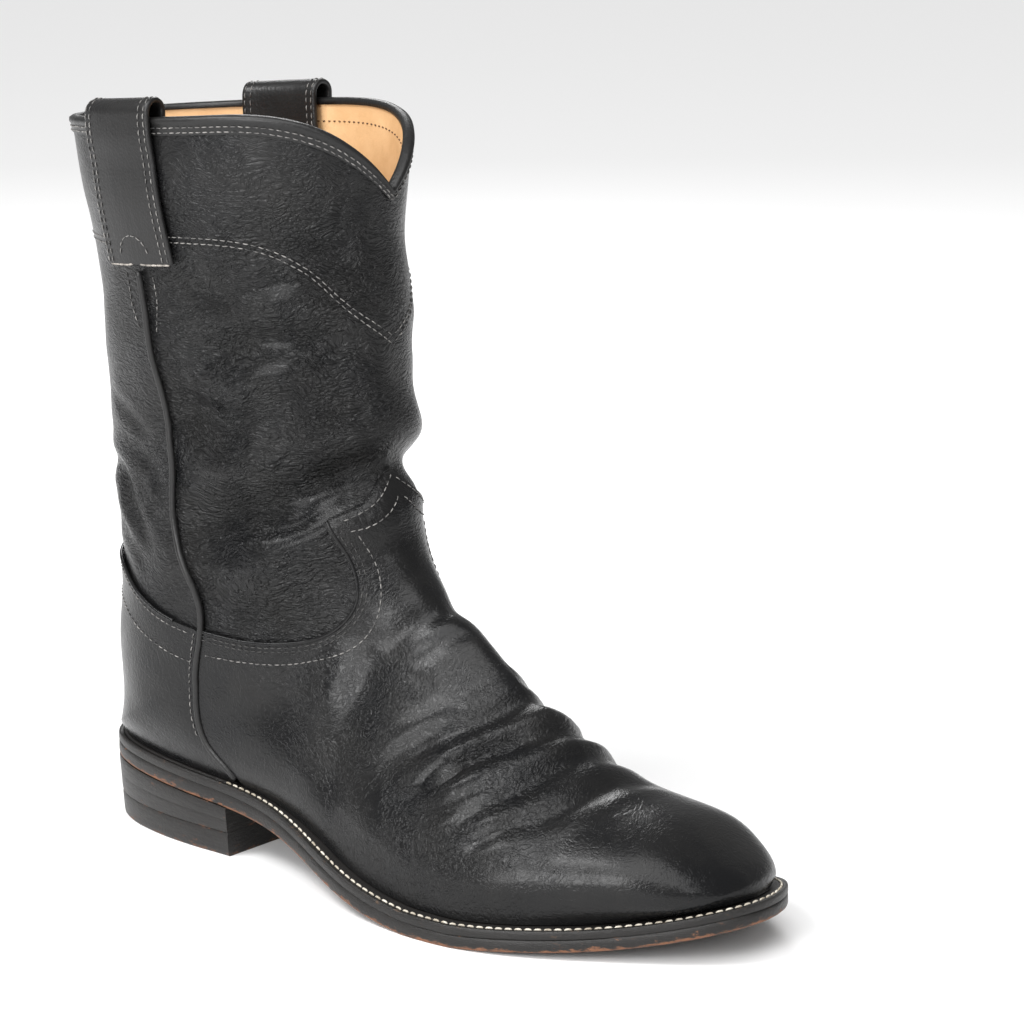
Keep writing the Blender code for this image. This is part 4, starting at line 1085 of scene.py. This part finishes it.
def strap_path():
    middle = (STRAP_OUT + STRAP_IN) / 2
    radius = (STRAP_OUT - STRAP_IN) / 2
    inner_leg = [(STRAP_IN, z) for z in np.linspace(-STRAP_INNER_LEG, STRAP_ARCH_Z, 14)]
    angles = np.linspace(np.pi, 0, 18)[1:-1]
    arch = [(middle + radius * np.cos(a), STRAP_ARCH_Z + radius * np.sin(a)) for a in angles]
    low = GAP + STRAP_THICKNESS / 2 + 0.3
    outer_leg = [(STRAP_OUT, STRAP_ARCH_Z), (STRAP_OUT, 2.0), (STRAP_OUT, 0.0), (STRAP_OUT, -4.0),
                 (STRAP_OUT - 0.1, -BINDING_DEPTH - 2.0), (STRAP_OUT - 0.5, -10.0), (low, -16.0)]
    outer_leg += [(low, z) for z in np.linspace(-18.0, -STRAP_LEG, 24)]
    return np.array(inner_leg + arch + outer_leg)


def strap_points(side, across, out, up):
    """Points beside the shaft at distances across, out from it and up from the rim."""
    across, out, up = np.broadcast_arrays(across, out, up)
    x = STRAP_X + across - STRAP_LEAN * np.minimum(up, 0.0)
    z = rim_height(STRAP_X) + up + STRAP_LEAN * across
    route = on_form(np.column_stack([x, np.minimum(z, rim_height(x) - 0.2)]), side)
    number = np.maximum(route[:, 0], collar_start(route[:, 1]))
    normal = unit(form_normal(number, route[:, 1]) * (1, 1, 0))
    point = skin(number, route[:, 1]) + normal * out[:, None]
    point[:, 2] = z
    return point, normal


half_width = STRAP_WIDTH / 2
edge_in = (0.0, 0.25, 0.9, 1.9, 3.2, 6.0, 10.0, 14.0)
steps = np.array([-half_width + e for e in edge_in] + [0.0] + [half_width - e for e in edge_in[::-1]])
full_from_edge = (0.30, 0.72, 0.96, 1.0, 0.97, 1.0, 1.0, 1.0)
fullness = np.array([*full_from_edge, 1.0, *full_from_edge[::-1]])
for name, side in (("lateral", -1), ("medial", 1)):
    path = strap_path()
    along = unit(np.gradient(path, axis=0))
    sideways = np.column_stack([along[:, 1], -along[:, 0]]) * STRAP_THICKNESS / 2
    rings = []
    for middle, thick in zip(path, sideways):
        across = np.concatenate([steps, steps[::-1]])
        full = np.concatenate([fullness, -fullness[::-1]])
        out = middle[0] + thick[0] * full
        up = middle[1] + thick[1] * full
        rings.append(strap_points(side, across, out, up)[0])
    swept("strap_leather_" + name, rings, TRIM, replaces=("pull_strap_" + name,),
          slot="trim_leather", sharp=50)
    rows = []
    for inset_by in (1.5, 4.0):
        for hand in (-1, 1):
            face = path - sideways * 1.02
            place = np.full(len(face), hand * (half_width - inset_by))
            point, normal = strap_points(side, place, face[:, 0], face[:, 1])
            tilt = along[:, 1]
            upward = (0, 0, 1) * (1 - np.abs(tilt))[:, None]
            rows.append((point, normal * np.maximum(-tilt, 0.15)[:, None] + upward
                         + normal * np.minimum(-tilt, 0)[:, None]))
    turn = np.linspace(0.08, np.pi - 0.08, 30)
    low = GAP + STRAP_THICKNESS + 0.32
    bow = strap_points(side, 7.4 * np.cos(turn), low, -STRAP_LEG + 3.0 + 7.4 * np.sin(turn))
    rows.append(bow)
    stitches("strap_stitches_" + name, rows, BLACK_THREAD, 2.1, 0.8, 0.22, 0.03)
    raw = []
    for hand in (-1, 1):
        span = np.linspace(1.6, half_width - 0.4, 24) * hand
        rise = np.where(np.abs(span) < 3.5, 0.35, 0.0) - STRAP_LEG - 0.35
        raw.append((strap_points(side, span, np.full(24, low - 0.35), rise)))
    stitches("strap_raw_edge_" + name, raw, RAW_EDGE, 3.2, -0.3, 0.42, 0.0, 0.0)

# Sole, welt and heel


def stations(loop, count, x_to=None):
    first = loop[:, 0].min() + 0.02
    last = loop[:, 0].max() - 0.02 if x_to is None else x_to
    angle = np.linspace(0, np.pi if x_to is None else np.pi / 2, count)
    share = (1 - np.cos(angle)) / (2 if x_to is None else 1)
    return first + (last - first) * share


def ladder(loop, x, height):
    outer = np.column_stack([x, side_y(loop, x, -1), height])
    inner = np.column_stack([x, side_y(loop, x, 1), height])
    return np.concatenate([outer, inner[::-1]])


def plate(name, rings, finish, **options):
    """A solid through ladder rings from the bottom up, its ends closed rung by rung."""
    count = len(rings[0])
    faces = []
    for i in range(len(rings) - 1):
        a, b = i * count, (i + 1) * count
        for j in range(count):
            k = (j + 1) % count
            faces.append((a + j, a + k, b + k, b + j))
    top = (len(rings) - 1) * count
    for j in range(count // 2 - 1):
        faces.append((j, count - 1 - j, count - 2 - j, j + 1))
        faces.append((top + j, top + j + 1, top + count - 2 - j, top + count - 1 - j))
    return thing(name, np.concatenate(rings), faces, finish, **options)


def layer(name, profile, bottom, top, finish, count, x_to=None, taper=(0.0, 0.0), **options):
    """A sole layer: profile rows are inward distance, share of height and rub."""
    rings, rub = [], []
    for inward, share, worn in profile:
        loop = inset(OUTLINE, inward + taper[0] + (taper[1] - taper[0]) * share)
        x = stations(loop, count, x_to)
        rings.append(ladder(loop, x, bottom(x) + (top(x) - bottom(x)) * share))
        rub += [worn] * (2 * count)
    made = plate(name, rings, finish, **options)
    mark(made, "rub", rub)
    return made


def welt_bottom(x):
    return underside(x) + edge_thickness(x) * (1 - WELT_SHARE)


rounded = ((2.6, 0.0, 0.5), (0.9, 0.0, 0.95), (0.25, 0.10, 1.0), (0.0, 0.28, 0.55), (0.0, 0.6, 0.1),
           (0.05, 0.88, 0.15), (0.55, 1.0, 0.3), (2.6, 1.0, 0.0))
layer("outsole_edge", rounded, underside, lambda x: welt_bottom(x) - 0.1, EDGE, 190,
      replaces=("outsole",), slot="sole_leather", sharp=50)
lift_profile = ((2.0, 0.0, 0.6), (0.7, 0.0, 1.0), (0.15, 0.07, 1.0), (0.0, 0.2, 0.5), (0.0, 0.55, 0.15),
                (0.0, 0.9, 0.3), (0.4, 1.0, 0.6), (2.0, 1.0, 0.3))
layer("heel_lift", lift_profile, lambda x: 0 * x, lambda x: 0 * x + LIFT_TOP, HEEL_EDGE, 110, HEEL_BREAST_X,
      (HEEL_TAPER, HEEL_TAPER * 0.6), replaces=("top_lift",), slot="lift_rubber", sharp=50)
stack_profile = ((2.0, 0.0, 0.3), (0.35, 0.0, 0.7), (0.0, 0.06, 0.5), (0.0, 0.4, 0.0), (0.0, 0.47, 0.1),
                 (0.12, 0.5, 0.4), (0.0, 0.53, 0.1), (0.0, 0.95, 0.3), (0.4, 1.0, 0.6), (2.0, 1.0, 0.2))
layer("heel_layers", stack_profile, lambda x: 0 * x + LIFT_TOP + 0.15, lambda x: underside(x) - 0.15,
      HEEL_EDGE, 110, HEEL_BREAST_X, (HEEL_TAPER * 0.6, 0.0), replaces=("heel_stack",),
      slot="heel_leather", sharp=50)

welt_inner = inset(FEATHER, WELT_WIDTH)
x_in = stations(welt_inner, 190)
rings, rub = [], []
welt_profile = ((0.3, 0.0, 0.4), (0.0, 0.2, 0.4), (0.0, 0.7, 0.5), (0.25, 0.93, 0.7), (0.75, 1.0, 0.6),
                (1.7, 0.97, 0.1), (2.3, 0.86, 0.0), (2.9, 0.97, 0.1), (3.1, 1.0, 0.0))
for inward, share, worn in welt_profile:
    loop = inset(OUTLINE, inward)
    x = stations(loop, 190)
    rings.append(ladder(loop, x, welt_bottom(x) + WELT_SHARE * edge_thickness(x) * share))
    rub += [worn] * 380
for share in (1.0, 0.0):
    rings.append(ladder(welt_inner, x_in, welt_bottom(x_in) + WELT_SHARE * edge_thickness(x_in) * share))
    rub += [0.0] * 380
welt = swept("welt_strip", [ring[::-1] for ring in rings], WELT_TOP, closed=True, replaces=("welt",),
             slot="welt_leather", sharp=50)
mark(welt, "rub", rub)

stitch_loop = inset(OUTLINE, 2.3)
begins = np.argmax(stitch_loop[:, 0] > 78)
ends = len(stitch_loop) - np.argmax(stitch_loop[::-1, 0] > 78)
row = stitch_loop[begins:ends]
row = np.column_stack([row, feather_z(row[:, 0]) - 0.35])
upward = np.tile((0.0, 0.0, 1.0), (len(row), 1))
stitches("welt_stitches", [(row, upward)], PALE_THREAD, 2.7, 0.8, 0.42, 0.22, 0.1)

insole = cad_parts["insole"]
for place in insole.material_slots:
    place.material = TAN

# Floor, lights and camera
mesh = bpy.data.meshes.new("floor")
far = 30.0
mesh.from_pydata([(-far, -far, 0), (far, -far, 0), (far, far, 0), (-far, far, 0)], [], [(0, 1, 2, 3)])
floor = bpy.data.objects.new("floor", mesh)
bpy.context.scene.collection.objects.link(floor)
mesh.materials.append(floor_finish())

world = bpy.data.worlds.new("studio")
bpy.context.scene.world = world
world.use_nodes = True
world.node_tree.nodes["Background"].inputs["Color"].default_value = (1.0, 1.0, 1.0, 1)
world.node_tree.nodes["Background"].inputs["Strength"].default_value = 0.30


def soft_light(name, place, aim, size, power):
    light = bpy.data.lights.new(name, "AREA")
    light.shape = "RECTANGLE"
    light.size, light.size_y = size
    light.energy = power
    lamp = bpy.data.objects.new(name, light)
    bpy.context.scene.collection.objects.link(lamp)
    lamp.location = place
    lamp.rotation_euler = (Vector(aim) - Vector(place)).to_track_quat("-Z", "Y").to_euler()


soft_light("side", (0.15, -1.75, 0.75), (0, 0, 0.14), (0.7, 0.9), 26)
soft_light("key", (-0.55, -0.95, 1.5), (0.03, 0, 0.08), (0.7, 0.5), 20)
soft_light("front_right", (1.6, -0.7, 0.9), (0, 0, 0.1), (0.35, 0.6), 4)
soft_light("back_left", (-1.0, 1.1, 1.1), (0.05, 0, 0.08), (0.5, 0.6), 7)
sun = bpy.data.lights.new("sun", "SUN")
sun.energy = 2.3
sun.angle = 0.9
lamp = bpy.data.objects.new("sun", sun)
bpy.context.scene.collection.objects.link(lamp)
lamp.rotation_euler = Vector((0.3, -0.5, 1.0)).to_track_quat("Z", "Y").to_euler()

AZIMUTH, ELEVATION = 0.670, 0.230
DISTANCE, TARGET = 1194.9, (190.3, 0.0, 130.6)
FOCAL, SHIFT = 3391.0, 31.5          # in pixels of the 1024 wide frame
back = np.array([np.sin(AZIMUTH) * np.cos(ELEVATION), -np.cos(AZIMUTH) * np.cos(ELEVATION), np.sin(ELEVATION)])
right = np.array([np.cos(AZIMUTH), np.sin(AZIMUTH), 0.0])
up = np.cross(back, right)
lens = bpy.data.cameras.new("camera")
lens.sensor_width = 36.0
lens.sensor_fit = "HORIZONTAL"
lens.lens = FOCAL / 1024 * 36.0
lens.shift_y = SHIFT / 1024
camera = bpy.data.objects.new("camera", lens)
bpy.context.scene.collection.objects.link(camera)
spot = to_world(np.array(TARGET) + back * DISTANCE)
axes = np.column_stack([right, up, back])
camera.matrix_world = Matrix([(*row, place) for row, place in zip(axes, spot)] + [(0, 0, 0, 1)])
bpy.context.scene.camera = camera
bpy.context.scene.view_settings.view_transform = "Standard"
